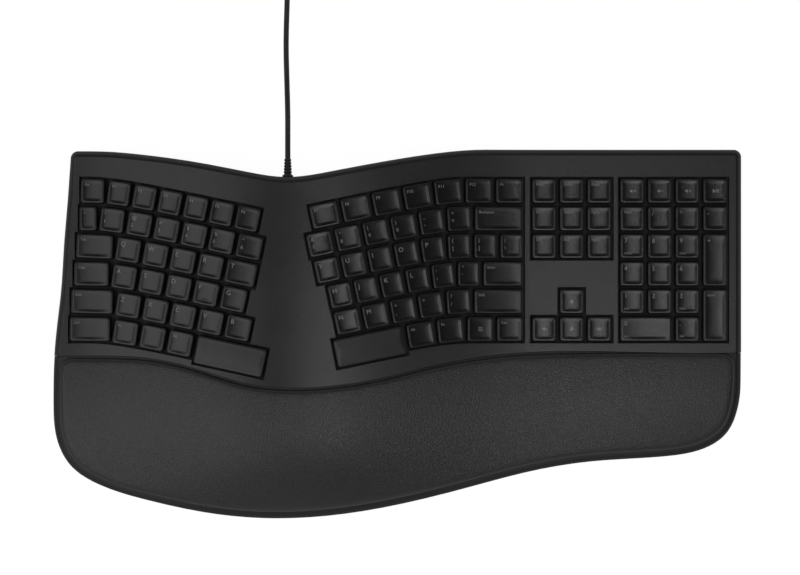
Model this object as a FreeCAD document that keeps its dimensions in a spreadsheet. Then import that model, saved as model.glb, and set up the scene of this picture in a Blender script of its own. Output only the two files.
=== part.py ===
import FreeCAD, Part
import os
import Sketcher
from math import atan, cos, degrees, exp, hypot, pi, radians, sin, tan
from FreeCAD import Placement, Rotation, Vector

# Split ergonomic keyboard with a gull-wing deck, a padded palm rest and a wired plug.
# Frame: +X to the right along the rows, +Y away from the user, +Z up. The origin is the middle of
# the footprint, on the desk. All sizes are in millimetres.
# The key fields are drawn flat and then dropped towards the split and laid on the curved deck.

doc = FreeCAD.newDocument("ErgonomicKeyboard")
sheet = doc.addObject("Spreadsheet::Sheet", "Sizes")

SIZES = {
    # key field
    "key_pitch": 18.4,
    "key_gap": 1.6,
    "key_travel": 2.4,
    "split_angle": 12.0,
    "split_bend": 18.0,
    "space_bar_extra": 3.0,
    # keycap
    "cap_rise": 3.0,
    "cap_height": 4.6,
    "cap_taper": 0.4,
    "cap_wall": 1.3,
    "cap_corner": 1.8,
    "cap_edge": 0.5,
    "stem_diameter": 5.0,
    "stem_clearance": 0.6,
    "guide_inset": 9.0,
    "wire_diameter": 1.2,
    "wire_reach": 7.0,
    "wire_inset": 4.0,
    "wire_bend": 2.0,
    "wire_gap": 0.05,
    "wire_back": 0.8,
    # layers under the deck
    "carrier_drop": 4.8,
    "carrier_thickness": 1.8,
    "carrier_rim": 1.2,
    "carrier_margin": 0.3,
    "dome_height": 2.6,
    "dome_diameter": 9.0,
    "dome_wall": 0.6,
    "dome_step": 0.5,
    "dome_slack": 0.3,
    "membrane_thickness": 0.4,
    "plate_thickness": 1.0,
    "layer_gap": 0.1,
    # housing
    "left_height": 19.5,
    "crest_height": 36.0,
    "right_height": 18.7,
    "case_wall": 2.2,
    "case_edge_radius": 4.0,
    "corner_radius": 5.0,
    "well_clearance": 0.4,
    "well_skirt": 1.2,
    "foot_height": 2.0,
    "foot_diameter": 14.0,
    "foot_edge": 0.6,
    "lower_height": 6.0,
    "lower_inset": 1.0,
    "floor_thickness": 2.0,
    "lower_chamfer": 1.2,
    "seam_gap": 0.3,
    # palm rest
    "lip_height": 9.5,
    "palm_step": 1.8,
    "cushion_thickness": 3.2,
    "cushion_crown": 1.2,
    "cushion_inset": 5.0,
    "cushion_corner": 8.0,
    "cushion_edge_radius": 2.4,
    "cushion_seat": 0.2,
    "cushion_side_gap": 0.8,
    # fasteners
    "screw_shank": 2.4,
    "screw_head": 5.0,
    "screw_head_height": 1.8,
    "screw_length": 5.8,
    "bore_clearance": 0.3,
    "boss_wall": 1.9,
    "post_height": 6.5,
    "head_depth": 0.7,
    "plate_post": 6.0,
    "screw_tip_gap": 0.3,
    # electronics
    "board_length": 60.0,
    "board_width": 28.0,
    "board_thickness": 1.6,
    "board_height": 11.0,
    "board_post": 5.0,
    "board_post_inset": 4.0,
    "connector_length": 9.0,
    "connector_width": 5.0,
    "connector_height": 5.0,
    "chip_size": 10.0,
    "chip_height": 1.2,
    "connector_inset": 1.0,
    "socket_length": 12.0,
    "socket_width": 4.0,
    "crystal_length": 11.0,
    "crystal_width": 4.4,
    "crystal_height": 3.4,
    # tilt legs
    "leg_length": 22.0,
    "leg_width": 28.0,
    "leg_thickness": 4.0,
    "leg_clearance": 0.5,
    "leg_pin": 3.0,
    "leg_pin_reach": 1.6,
    "leg_seat": 0.2,
    "pocket_wall": 2.0,
    "pocket_roof": 1.5,
    # cable
    "cable_diameter": 3.6,
    "cable_lift": 0.05,
    "relief_flange": 9.0,
    "relief_neck": 6.4,
    "relief_collar": 7.4,
    "relief_root": 5.6,
    "relief_tip": 4.4,
    "relief_collar_length": 1.4,
    "relief_length": 12.2,
    "relief_inner_gap": 0.2,
    "relief_outer_gap": 0.4,
    "outlet_clearance": 0.25,
    "relief_flange_thickness": 1.6,
    "coil_radius": 21.0,
    "coil_turn_gap": 0.6,
    "coil_layer_gap": 0.6,
    "coil_lift": 0.8,
    "tie_thickness": 0.5,
    "tie_width": 6.0,
    "tie_gap": 0.15,
    "tie_side_gap": 0.4,
    "plug_length": 30.0,
    "plug_width": 15.6,
    "plug_height": 8.0,
    "plug_edge": 1.4,
    "plug_lift": 0.3,
    "plug_neck_length": 8.0,
    "plug_neck": 5.4,
    "shell_length": 12.0,
    "shell_width": 12.0,
    "shell_height": 4.5,
    "shell_wall": 0.35,
    "shell_root": 3.0,
    "tongue_width": 9.0,
    "tongue_height": 1.89,
    "tongue_setback": 0.6,
}

for line, (alias, amount) in enumerate(SIZES.items(), start=1):
    sheet.set(f"A{line}", alias)
    sheet.set(f"B{line}", str(amount))
    sheet.setAlias(f"B{line}", alias)
doc.recompute()


def size(alias):
    """A plain number from the sheet, for shapes worked out in this file."""
    return float(sheet.get(alias))


class Cell(float):
    """A number from the sheet that keeps the expression it came from, to bind a property to."""

    def __new__(cls, amount, text):
        cell = float.__new__(cls, amount)
        cell.text = text
        return cell

    def __add__(self, other):
        return Cell(float(self) + float(other), f"({self.text} + {words(other)})")

    def __sub__(self, other):
        return Cell(float(self) - float(other), f"({self.text} - {words(other)})")

    def __mul__(self, other):
        return Cell(float(self) * float(other), f"({self.text} * {words(other)})")

    def __truediv__(self, other):
        return Cell(float(self) / float(other), f"({self.text} / {words(other)})")

def words(amount):
    """The expression text of a cell, or of a plain number."""
    return amount.text if isinstance(amount, Cell) else repr(float(amount))


def cell(alias):
    """A size bound to its sheet cell."""
    return Cell(size(alias), f"Sizes.{alias}")


def bind(thing, **properties):
    """Sets properties of an object and binds each one to its sheet expression."""
    for name, amount in properties.items():
        setattr(thing, name, float(amount))
        thing.setExpression(name, words(amount))


def place(thing, x, y, z, rotation=None):
    """Puts an object at a point and binds the point to the sheet."""
    thing.Placement = Placement(Vector(x, y, z), rotation or Rotation())
    for axis, amount in zip("xyz", (x, y, z)):
        thing.setExpression(f"Placement.Base.{axis}", words(amount))


DRAWN_PITCH = 18.4
key_pitch = size("key_pitch")
key_gap = size("key_gap")


def field(length):
    """A place drawn for the drawn key pitch, which moves with the key field when the pitch changes."""
    return length * key_pitch / DRAWN_PITCH


# Heights of the deck

CREST_X = field(-73)
LEFT_FOOT_X = field(-225)
RIGHT_FOOT_X = field(100)
left_height = size("left_height")
crest_height = size("crest_height")
right_height = size("right_height")


def smooth_step(share):
    """0 below 0, 1 above 1, and a smooth rise between."""
    share = min(max(share, 0.0), 1.0)
    return share * share * (3 - 2 * share)


def deck_height(x):
    """Top of the deck above the desk: level at both ends, with a crest over the split."""
    if x < CREST_X:
        share = (x - LEFT_FOOT_X) / (CREST_X - LEFT_FOOT_X)
        return left_height + (crest_height - left_height) * smooth_step(share)
    share = (RIGHT_FOOT_X - x) / (RIGHT_FOOT_X - CREST_X)
    return right_height + (crest_height - right_height) * smooth_step(share)


def deck_slope(x):
    """Rise of the deck per millimetre to the right."""
    step = 0.01
    return (deck_height(x + step) - deck_height(x - step)) / (2 * step)


def deck_normal(x):
    """Unit normal of the deck."""
    return Vector(-deck_slope(x), 0, 1).normalize()


def under_deck_point(x, depth, y=0.0):
    """The point at a depth under the deck, measured square to it."""
    return Vector(x, y, deck_height(x)) - deck_normal(x) * depth


DECK_STATIONS = [field(-240 + 15 * i) for i in range(33)]
BLOCK_FRONT = field(-150)
BLOCK_DEPTH = field(300)
BELOW_DESK = -40.0
MARGIN = 10.0


def under_deck(depth):
    """Everything lower than a given depth under the deck, as one block."""
    curve = Part.BSplineCurve()
    curve.interpolate([under_deck_point(x, depth, BLOCK_FRONT) for x in DECK_STATIONS])
    left = curve.StartPoint
    right = curve.EndPoint
    left_foot = Vector(left.x, BLOCK_FRONT, BELOW_DESK)
    right_foot = Vector(right.x, BLOCK_FRONT, BELOW_DESK)
    sides = [
        curve.toShape(),
        Part.makeLine(right, right_foot),
        Part.makeLine(right_foot, left_foot),
        Part.makeLine(left_foot, left),
    ]
    return Part.Face(Part.Wire(sides)).extrude(Vector(0, BLOCK_DEPTH, 0))


def deck_layer(top_depth, bottom_depth, footprint):
    """A sheet that follows the deck between two depths, cut to a footprint."""
    slab = under_deck(top_depth).cut(under_deck(bottom_depth))
    return slab.common(prism(footprint, BELOW_DESK + 1, crest_height + 20))


# Plan outline of the housing

LEFT_TOP = 122.75
LEFT_AND_FRONT = [
    (-218, 117.75),
    (-220, 90),
    (-222.5, 60),
    (-224.4, 30),
    (-227.3, 5),
    (-229.3, -20),
    (-229.85, -45),
    (-228.3, -68),
    (-219.5, -87),
    (-200, -100.8),
    (-165, -112),
    (-125, -120.2),
    (-85, -123.5),
    (-45, -121.6),
    (0, -114.4),
    (45, -103.5),
    (90, -91.8),
    (135, -84.9),
    (180, -82.0),
    (207, -76),
    (222, -64.5),
    (228.4, -48),
    (230, -30),
]
BACK = [
    (60, 123.75),
    (22, 120.6),
    (-15, 114.4),
    (-45, 108.6),
    (-73, 105),
    (-100, 108.6),
    (-140, 116.2),
    (-180, 121.4),
]


def plan_spline(points, start_direction=None, end_direction=None):
    """A smooth plan curve through points, with its end directions where they are given."""
    curve = Part.BSplineCurve()
    stops = [Vector(x, y, 0) for x, y in points]
    if start_direction:
        curve.interpolate(Points=stops, InitialTangent=start_direction, FinalTangent=end_direction)
    else:
        curve.interpolate(stops)
    return curve.toShape()


def corner_arc(centre, radius, start_angle, end_angle):
    """A round plan corner, given by its centre and two directions in degrees."""
    angles = [start_angle, (start_angle + end_angle) / 2, end_angle]
    ends = [centre + Vector(cos(radians(a)), sin(radians(a)), 0) * radius for a in angles]
    return Part.Arc(*ends).toShape()


def inset_points(points, start_direction, end_direction, distance):
    """The points of a plan spline moved square to it, to the inside of the outline."""
    curve = plan_spline(points, start_direction, end_direction).Curve
    moved_points = []
    for x, y in points:
        direction = Vector(*curve.tangent(curve.parameter(Vector(x, y, 0)))[0])
        direction.normalize()
        moved_points.append((x - direction.y * distance, y + direction.x * distance))
    return moved_points


LEFT_LEAN = 0.07


def outline(inset=0.0):
    """The housing's outline seen from above, or one that runs inside it at a distance."""
    radius = size("corner_radius")
    turn = max(radius - inset, 0.5)
    lean = atan(LEFT_LEAN)
    left, left_top = field(LEFT_AND_FRONT[0][0]), field(LEFT_TOP)
    right, back = field(LEFT_AND_FRONT[-1][0]), field(BACK[0][1])
    corner = Vector(left + radius, left_top - radius, 0)
    corner_end = corner + Vector(-cos(lean), sin(lean), 0) * radius
    left_front = [(corner_end.x, corner_end.y)] + [(field(x), field(y)) for x, y in LEFT_AND_FRONT[1:]]
    back_points = [(field(x), field(y)) for x, y in BACK] + [(corner.x, left_top)]
    down, up, straight = Vector(-LEFT_LEAN, -1, 0), Vector(0, 1, 0), Vector(-1, 0, 0)
    left_front = inset_points(left_front, down, up, inset)
    back_points = inset_points(back_points, straight, straight, inset)
    left_corner = Vector(left + inset + turn, left_top - inset - turn, 0)
    left_arc = corner_arc(left_corner, turn, 90, 180 - degrees(lean))
    left_front[0] = (left_corner.x - turn * cos(lean), left_corner.y + turn * sin(lean))
    back_points[-1] = (left_corner.x, left_top - inset)
    right_x, back_y = right - inset, back - inset
    sides = [
        plan_spline(left_front, down, up),
        Part.makeLine(Vector(*left_front[-1], 0), Vector(right_x, back_y - turn, 0)),
        corner_arc(Vector(right_x - turn, back_y - turn, 0), turn, 0, 90),
        Part.makeLine(Vector(right_x - turn, back_y, 0), Vector(*back_points[0], 0)),
        plan_spline(back_points, straight, straight),
        left_arc,
    ]
    return Part.Wire(sides)


def prism(wire, low, high):
    """A flat outline made into an upright block between two heights."""
    face = Part.Face(wire)
    face.translate(Vector(0, 0, low))
    return face.extrude(Vector(0, 0, high - low))


# The line where the palm rest meets the deck, from left to right, past both sides

SEAM_LINE = [
    (-245, -13.5),
    (-200, -13.7),
    (-165, -15.2),
    (-131, -22.6),
    (-100, -31.5),
    (-73, -34.6),
    (-42, -33.2),
    (-10, -28.2),
    (19, -21.3),
    (47, -15.8),
    (75, -12.3),
    (110, -10.7),
    (245, -10.7),
]
FRONT_LINE = [
    (-245, -86),
    (-200, -101),
    (-165, -112),
    (-125, -120.2),
    (-85, -123.5),
    (-45, -121.6),
    (0, -114.4),
    (45, -103.5),
    (90, -91.8),
    (135, -84.9),
    (180, -82),
    (245, -76),
]


def line_at(points, x):
    """Height of a line of points at one x, straight between the points."""
    for (x0, y0), (x1, y1) in zip(points, points[1:]):
        if x <= x1:
            return y0 + (y1 - y0) * (x - x0) / (x1 - x0)
    return points[-1][1]


def behind_seam(shift):
    """The block behind the seam line, moved towards the back by a distance."""
    points = [(field(x), field(y) + shift) for x, y in SEAM_LINE]
    back = field(150)
    (x0, y0), (x1, y1) = points[0], points[-1]
    sides = [
        plan_spline(points),
        Part.makeLine(Vector(x1, y1, 0), Vector(x1, back, 0)),
        Part.makeLine(Vector(x1, back, 0), Vector(x0, back, 0)),
        Part.makeLine(Vector(x0, back, 0), Vector(x0, y0, 0)),
    ]
    return prism(Part.Wire(sides), BELOW_DESK, crest_height + 30)


# Palm rest surface

lip_height = size("lip_height")
palm_step = size("palm_step")
PALM_STATIONS = [-250, -215, -180, -145, -110, -75, -40, 0, 45, 90, 140, 190, 250]
PALM_SHARES = [-0.6, -0.3, 0.0, 0.2, 0.4, 0.6, 0.8, 1.0, 1.25, 1.7, 2.4, 3.5]


def palm_height(x, share, crown):
    """Palm rest height at a share of the way from front to seam: it rises steeply, then levels."""
    top = deck_height(field(x)) - palm_step
    if share < 0:
        rise = 2 * share
    elif share < 1:
        rise = 1 - (1 - share) ** 2
    else:
        rise = 1.0
    swell = crown * sin(pi * share) if 0 < share < 1 else 0.0
    return lip_height + (top - lip_height) * rise + swell


DEGREE = 3


def clamped_knots(poles):
    """Even knots, and their repeats, for a cubic spline that starts and ends on its first and last pole."""
    spans = poles - DEGREE
    return [DEGREE + 1] + [1] * (spans - 1) + [DEGREE + 1], [float(i) for i in range(spans + 1)]


def under_palm(lift, crown=0.0):
    """Everything lower than the palm rest surface raised by a distance, as one block."""
    rows = []
    for x in PALM_STATIONS:
        front, seam = line_at(FRONT_LINE, x), line_at(SEAM_LINE, x)
        rows.append(
            [
                Vector(
                    field(x),
                    field(front + (seam - front) * share),
                    palm_height(x, share, crown) + lift,
                )
                for share in PALM_SHARES
            ]
        )
    surface = Part.BSplineSurface()
    x_repeats, x_knots = clamped_knots(len(rows))
    y_repeats, y_knots = clamped_knots(len(rows[0]))
    surface.buildFromPolesMultsKnots(
        rows, x_repeats, y_repeats, x_knots, y_knots, False, False, DEGREE, DEGREE
    )
    return surface.toShape().extrude(Vector(0, 0, -90))


# Key fields: rows are numbered from the user's side, 0 for the space bars to 5 for the function keys

SPACE_ROW_Y = field(4.0)
LEFT_BEND_X = field(-205)
RIGHT_BEND_X = field(47)
split_angle = radians(size("split_angle"))
split_bend = size("split_bend")

# side, row, left end, right end, and the keys from left to right with their shares of the width
KEY_ROWS = [
    ("left", 5, -211.5, -90.0, [("escape_key", 1.05)] + [("function_keys_left", 1.0)] * 6),
    ("left", 4, -212.5, -88.2, [("number_keys_left", 0.76)] + [("number_keys_left", 1.0)] * 6),
    ("left", 3, -214.5, -92.0, [("tab_key", 1.46)] + [("upper_letter_keys_left", 1.0)] * 4
     + [("upper_letter_keys_left", 1.2)]),
    ("left", 2, -216.0, -98.7, [("caps_lock_key", 1.4)] + [("home_letter_keys_left", 1.0)] * 5),
    ("left", 1, -218.0, -95.6, [("shift_key_left", 1.65)] + [("lower_letter_keys_left", 1.0)] * 5),
    ("left", 0, -219.0, -86.4, [("modifier_keys_left", 1.6)] + [("modifier_keys_left", 1.0)] * 3
     + [("space_bar_left", 2.6)]),
    ("right", 5, -58.0, 85.0, [("function_keys_right", 1.0)] * 7),
    ("right", 4, -60.0, 85.0, [("number_keys_right", 1.0)] * 6 + [("backspace_key", 1.88)]),
    ("right", 3, -55.0, 85.0, [("upper_letter_keys_right", 1.0)] * 8),
    ("right", 2, -46.0, 85.0, [("home_letter_keys_right", 1.0)] * 6 + [("enter_key", 1.7)]),
    ("right", 1, -42.0, 85.0, [("lower_letter_keys_right", 1.0)] * 5 + [("shift_key_right", 1.9)]),
    ("right", 0, -42.0, 85.0, [("space_bar_right", 2.6)] + [("modifier_keys_right", 1.08)] * 4),
    ("right", 5, 88.9, 144.1, [("system_keys", 1.0)] * 3),
    ("right", 4, 88.9, 144.1, [("editing_keys", 1.0)] * 3),
    ("right", 3, 88.9, 144.1, [("editing_keys", 1.0)] * 3),
    ("right", 1, 107.3, 125.7, [("arrow_up_key", 1.0)]),
    ("right", 0, 88.9, 144.1, [("arrow_left_key", 1.0), ("arrow_down_key", 1.0), ("arrow_right_key", 1.0)]),
    ("right", 5, 147.6, 221.2, [("media_keys", 1.0)] * 4),
    ("right", 4, 147.6, 221.2, [("pad_operator_keys", 1.0)] * 4),
    ("right", 3, 147.6, 202.8, [("pad_number_keys", 1.0)] * 3),
    ("right", 2, 147.6, 202.8, [("pad_number_keys", 1.0)] * 3),
    ("right", 1, 147.6, 202.8, [("pad_number_keys", 1.0)] * 3),
    ("right", 0, 147.6, 202.8, [("pad_zero_key", 2.0), ("pad_number_keys", 1.0)]),
    ("right", 2, 202.8, 221.2, [("pad_plus_key", 1.0)]),
    ("right", 0, 202.8, 221.2, [("pad_enter_key", 1.0)]),
]
TALL_KEYS = ("pad_plus_key", "pad_enter_key")
SPACE_BARS = ("space_bar_left", "space_bar_right")


def drop(side, x):
    """How far a row has come towards the user at x: nothing at its outer end, then a straight fall."""
    run = x - LEFT_BEND_X if side == "left" else RIGHT_BEND_X - x
    run = max(run, 0.0)
    return tan(split_angle) * (run - split_bend * (1 - exp(-run / split_bend)))


def drop_slope(side, x):
    """Rise of a row towards the back per millimetre to the right."""
    step = 0.01
    return -(drop(side, x + step) - drop(side, x - step)) / (2 * step)


def row_y(row):
    """Centre of a row before its drop."""
    return SPACE_ROW_Y + key_pitch * row


def seat(side, x, y, height=0.0):
    """Placement on the deck: X along the row, Z square to the deck, at a height over it."""
    normal = deck_normal(x)
    along = Vector(1, drop_slope(side, x), deck_slope(x)).normalize()
    away = normal.cross(along)
    foot = Vector(x, y - drop(side, x), deck_height(x))
    return Placement(foot + normal * height, Rotation(along, away, normal, "ZXY"))


def row_stretch(side, x):
    """Length along the row on the curved deck per millimetre of X."""
    return hypot(1.0, hypot(drop_slope(side, x), deck_slope(x)))


def lay_out_keys():
    """Each key as its group, width, depth, side and centre, before it is dropped and laid on the deck."""
    keys = []
    for side, row, left, right, cells in KEY_ROWS:
        total = sum(share for _, share in cells)
        x = field(left)
        for group, share in cells:
            width = field(right - left) * share / total
            middle = x + width / 2
            y = row_y(row)
            depth = key_pitch * cos(atan(drop_slope(side, middle)))
            if group in TALL_KEYS:
                y += key_pitch / 2
                depth += key_pitch
            if group in SPACE_BARS:
                extra = size("space_bar_extra")
                y -= extra / 2
                depth += extra
            length = width * row_stretch(side, middle)
            keys.append((group, length - key_gap, depth - key_gap, side, middle, y))
            x += width
    return keys


def rounded_rectangle(width, depth, radius, z):
    """A rectangle with round corners about the Z axis at a height."""
    corners = [(1, 1, 0), (-1, 1, 90), (-1, -1, 180), (1, -1, 270)]
    arcs = []
    for sx, sy, angle in corners:
        centre = Vector(sx * (width / 2 - radius), sy * (depth / 2 - radius), z)
        arcs.append(corner_arc(centre, radius, angle, angle + 90))
    edges = []
    for arc, following in zip(arcs, arcs[1:] + arcs[:1]):
        edges += [arc, Part.makeLine(arc.lastVertex().Point, following.firstVertex().Point)]
    return Part.Wire(edges)


cap_rise = size("cap_rise")
cap_height = size("cap_height")
cap_wall = size("cap_wall")
cap_taper = size("cap_taper")
stem_radius = size("stem_diameter") / 2
carrier_top = size("carrier_drop")
carrier_bottom = carrier_top + size("carrier_thickness")
stem_reach = cap_rise + carrier_bottom


# Keys wider than this many pitches have a guide near each end
GUIDED_WIDTH = 2.2


def stem_places(width, depth):
    """Where a key's stem and guides stand about its middle: long keys have a guide near each end."""
    places = [(0.0, 0.0)]
    inset = size("guide_inset")
    if width > GUIDED_WIDTH * key_pitch:
        places += [(width / 2 - inset, 0.0), (inset - width / 2, 0.0)]
    return places


def keycap(width, depth):
    """A hollow keycap with its stem, top face at height 0 and centred on the Z axis."""
    corner = size("cap_corner")
    top = rounded_rectangle(width - 2 * cap_taper, depth - 2 * cap_taper, corner, 0)
    skirt = rounded_rectangle(width, depth, corner, -cap_height)
    body = Part.makeLoft([skirt, top], True, True)
    rim = [edge for edge in body.Edges if edge.BoundBox.ZMin > -0.01]
    body = body.makeFillet(size("cap_edge"), rim)
    inner_corner = max(corner - cap_wall, 0.3)
    hollow = rounded_rectangle(width - 2 * cap_wall, depth - 2 * cap_wall, inner_corner, -cap_height)
    body = body.cut(Part.Face(hollow).extrude(Vector(0, 0, cap_height - cap_wall)))
    stems = []
    for x, y in stem_places(width, depth):
        stems.append(Part.makeCylinder(stem_radius, stem_reach - cap_wall / 2, Vector(x, y, -stem_reach)))
    return body.fuse(stems)


def rounded_to(amount, step=0.1):
    """A size rounded as a mould maker would, so that equal keys share one shape."""
    return round(amount / step) * step


CAPS = {}


def cap_of(width, depth):
    """The keycap for a size, made once."""
    wanted = (round(rounded_to(width), 1), round(rounded_to(depth), 1))
    if wanted not in CAPS:
        CAPS[wanted] = keycap(*wanted)
    return CAPS[wanted].copy()


def placed(shape, placement):
    """A copy of a shape at a placement."""
    shape = shape.copy()
    shape.Placement = placement
    return shape


def all_stems(side):
    """Each stem of one key field: its placement on the deck, and whether a dome stands under it."""
    stems = []
    for _, width, depth, key_side, x, y in KEYS:
        if key_side == side:
            ground = seat(side, x, y)
            for index, (dx, dy) in enumerate(stem_places(width, depth)):
                spot = ground.multiply(Placement(Vector(dx, dy, 0), Rotation()))
                stems.append((spot, index == 0))
    return stems


# Wells and footprints

ROW_HALF = key_pitch / 2


def bands(rows, extra=None):
    """Row bands of a key field, lowest first: low and high edge, left and right end, middle of its keys."""
    made = []
    for row, left, right in rows:
        middle = row_y(row)
        made.append((middle - ROW_HALF, middle + ROW_HALF, field(left), field(right), middle))
    if extra:
        left, right = extra
        low, high, row_left, row_right, middle = made[0]
        middle -= size("space_bar_extra") / 2
        made[0] = (low, high, row_left, row_right, middle)
        made.insert(0, (low - size("space_bar_extra"), low, field(left), field(right), middle))
    return made


def lean(side, x):
    """How far a key's end face moves to the right per millimetre of its undropped height."""
    slope = drop_slope(side, x)
    return -slope / (1 + slope ** 2)


def band_corners(side, row_bands, column, growth):
    """Corners up one side of a stack of bands that are all grown by a distance."""
    outwards = 1 if column else -1
    corners = []
    for low, high, left, right, middle in row_bands:
        end = right if column else left
        low_x = end + lean(side, end) * (low - middle) + outwards * growth
        high_x = end + lean(side, end) * (high - middle) + outwards * growth
        if not corners:
            corners.append((low_x, low - growth))
        elif abs(corners[-1][0] - low_x) > 0.01:
            upper_is_wider = outwards * (low_x - corners[-1][0]) > 0
            y = low + (-growth if upper_is_wider else growth)
            corners[-1] = (corners[-1][0], y)
            corners.append((low_x, y))
        else:
            corners.pop()
        corners.append((high_x, high + growth))
    return corners


def stepped_outline(side, row_bands, growth=0.0):
    """The outline round a stack of bands grown by a distance, dropped towards the split with its rows."""
    right_side = band_corners(side, row_bands, 1, growth)
    left_side = band_corners(side, row_bands, 0, growth)
    corners = right_side + left_side[::-1]
    edges = []
    for (x0, y0), (x1, y1) in zip(corners, corners[1:] + corners[:1]):
        start, end = Vector(x0, y0 - drop(side, x0), 0), Vector(x1, y1 - drop(side, x1), 0)
        if abs(x1 - x0) < field(30) or drop(side, x0) == drop(side, x1):
            edges.append(Part.makeLine(start, end))
        else:
            count = 2 + round(abs(x1 - x0) / field(14))
            xs = [x0 + (x1 - x0) * i / count for i in range(count + 1)]
            edges.append(plan_spline([(x, y0 - drop(side, x)) for x in xs]))
    return Part.Wire(edges)


def row_ends(side, first, last):
    """Ends of the rows of one side between two X limits: row number, left end, right end."""
    found = {}
    for key_side, row, left, right, cells in KEY_ROWS:
        if key_side == side and left >= first and right <= last:
            low, high = found.get(row, (left, right))
            found[row] = (min(low, left), max(high, right))
    return [(row, *found[row]) for row in sorted(found)]


LEFT_SPACE = (-134.2, -86.4)
RIGHT_SPACE = (-42.0, 5.9)
left_bands = bands(row_ends("left", -240, 0), LEFT_SPACE)
main_bands = bands(row_ends("right", -70, 86), RIGHT_SPACE)
cursor_bands = bands([(0, 88.9, 144.1), (1, 107.3, 125.7)])
editing_bands = bands([(row, 88.9, 144.1) for row in (3, 4, 5)])
pad_bands = bands([(row, 147.6, 221.2) for row in range(6)])
right_rows = [(row, left, 221.2) for row, left, _ in row_ends("right", -70, 86)]
right_bands = bands(right_rows, RIGHT_SPACE)

WELLS = [
    ("left", left_bands),
    ("right", main_bands),
    ("right", cursor_bands),
    ("right", editing_bands),
    ("right", pad_bands),
]
FIELDS = {"left": left_bands, "right": right_bands}
well_clearance = size("well_clearance")
well_skirt = size("well_skirt")
carrier_growth = well_clearance + well_skirt + size("carrier_margin")

case_wall = size("case_wall")
case_edge = size("case_edge_radius")
foot_height = size("foot_height")
lower_top = foot_height + size("lower_height")
floor_top = foot_height + size("floor_thickness")
seam_gap = size("seam_gap")
layer_gap = size("layer_gap")
above_all = crest_height + 25
OUTLINE = outline()
KEYS = lay_out_keys()

# Depths of the layers, measured square to the deck
dome_top = carrier_bottom + size("dome_slack")
dome_base = dome_top + size("dome_height")
membrane_top = dome_base + layer_gap
membrane_bottom = membrane_top + size("membrane_thickness")
plate_top = membrane_bottom + layer_gap
plate_bottom = plate_top + size("plate_thickness")

# Places of the fasteners, posts and feet
TOP_SCREWS = [(-204, 113.5), (-73, 55), (-73, -6), (60, 114.5), (214, 114.5)]
PALM_SCREWS = [(-198, -52), (-73, -72), (40, -62), (200, -42)]
PLATE_POSTS = [(-195, 88), (-195, 14), (-112, 60), (-115, -4),
               (-40, 70), (-30, 4), (60, 90), (60, 8), (130, 90), (130, 8), (205, 90), (205, 8)]
FEET = [(-204, -80), (-206, 96), (-73, -109), (-73, 92), (214, 97), (212, -54)]
LEG_PLACES = {"tilt_leg_left": (-150, -72), "tilt_leg_right": (150, -72)}
BOARD_PLACE = (-73, 82)
SOCKET_OFFSETS = (-22, 16)

screw_radius = size("screw_shank") / 2
bore_radius = screw_radius + size("bore_clearance")
head_radius = size("screw_head") / 2
plate_post = size("plate_post") / 2
post_radius = head_radius + size("bore_clearance") + size("boss_wall")
boss_radius = bore_radius + size("boss_wall")
post_top = foot_height + size("post_height")
head_seat = floor_top + size("screw_head_height") + size("head_depth")
bore_end = head_seat + size("screw_length") + size("screw_tip_gap")


# How deep added pieces run into what they grow from
ROOT = 0.5


def upright(radius, low, high, x, y):
    """An upright cylinder at a place of the key field."""
    return Part.makeCylinder(radius, high - low, Vector(field(x), field(y), low))


def outer_block(surface_block):
    """The housing's outer form under a surface, with its upper edge rounded, over the lower case."""
    block = prism(OUTLINE, BELOW_DESK / 2, above_all).common(surface_block)
    block = block.makeFillet(case_edge, [edge for edge in block.Edges if is_upper_rim(edge)])
    box = block.BoundBox
    corner = Vector(box.XMin, box.YMin, box.ZMin) - Vector(MARGIN, MARGIN, MARGIN)
    length, width = box.XLength + 2 * MARGIN, box.YLength + 2 * MARGIN
    return block.cut(Part.makeBox(length, width, lower_top - corner.z, corner))


def is_upper_rim(edge):
    """Whether an edge runs round the top of the housing's outline."""
    middle = edge.valueAt((edge.FirstParameter + edge.LastParameter) / 2)
    box = edge.BoundBox
    runs_level = hypot(box.XLength, box.YLength) > 0.1
    on_outline = OUTLINE.distToShape(Part.Vertex(middle.x, middle.y, 0))[0] < 0.05
    return runs_level and on_outline and middle.z > 0


def bosses(places, inner_block):
    """Screw bosses that hang from a shell, with their bores."""
    made = []
    for x, y in places:
        boss = upright(boss_radius, post_top, above_all, x, y).common(inner_block)
        made.append(boss.cut(upright(bore_radius, post_top, bore_end, x, y)))
    return made


# Cable outlet in the notch of the back edge

cable_radius = size("cable_diameter") / 2
OUTLET_X, OUTLET_Y = field(-73), field(105)
outlet_z = size("board_height") + size("board_thickness") + size("connector_height") / 2
neck_radius = size("relief_neck") / 2
relief_start = OUTLET_Y - case_wall - size("relief_inner_gap") - size("relief_flange_thickness")
relief_end = OUTLET_Y + size("relief_outer_gap") + size("relief_length")


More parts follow.
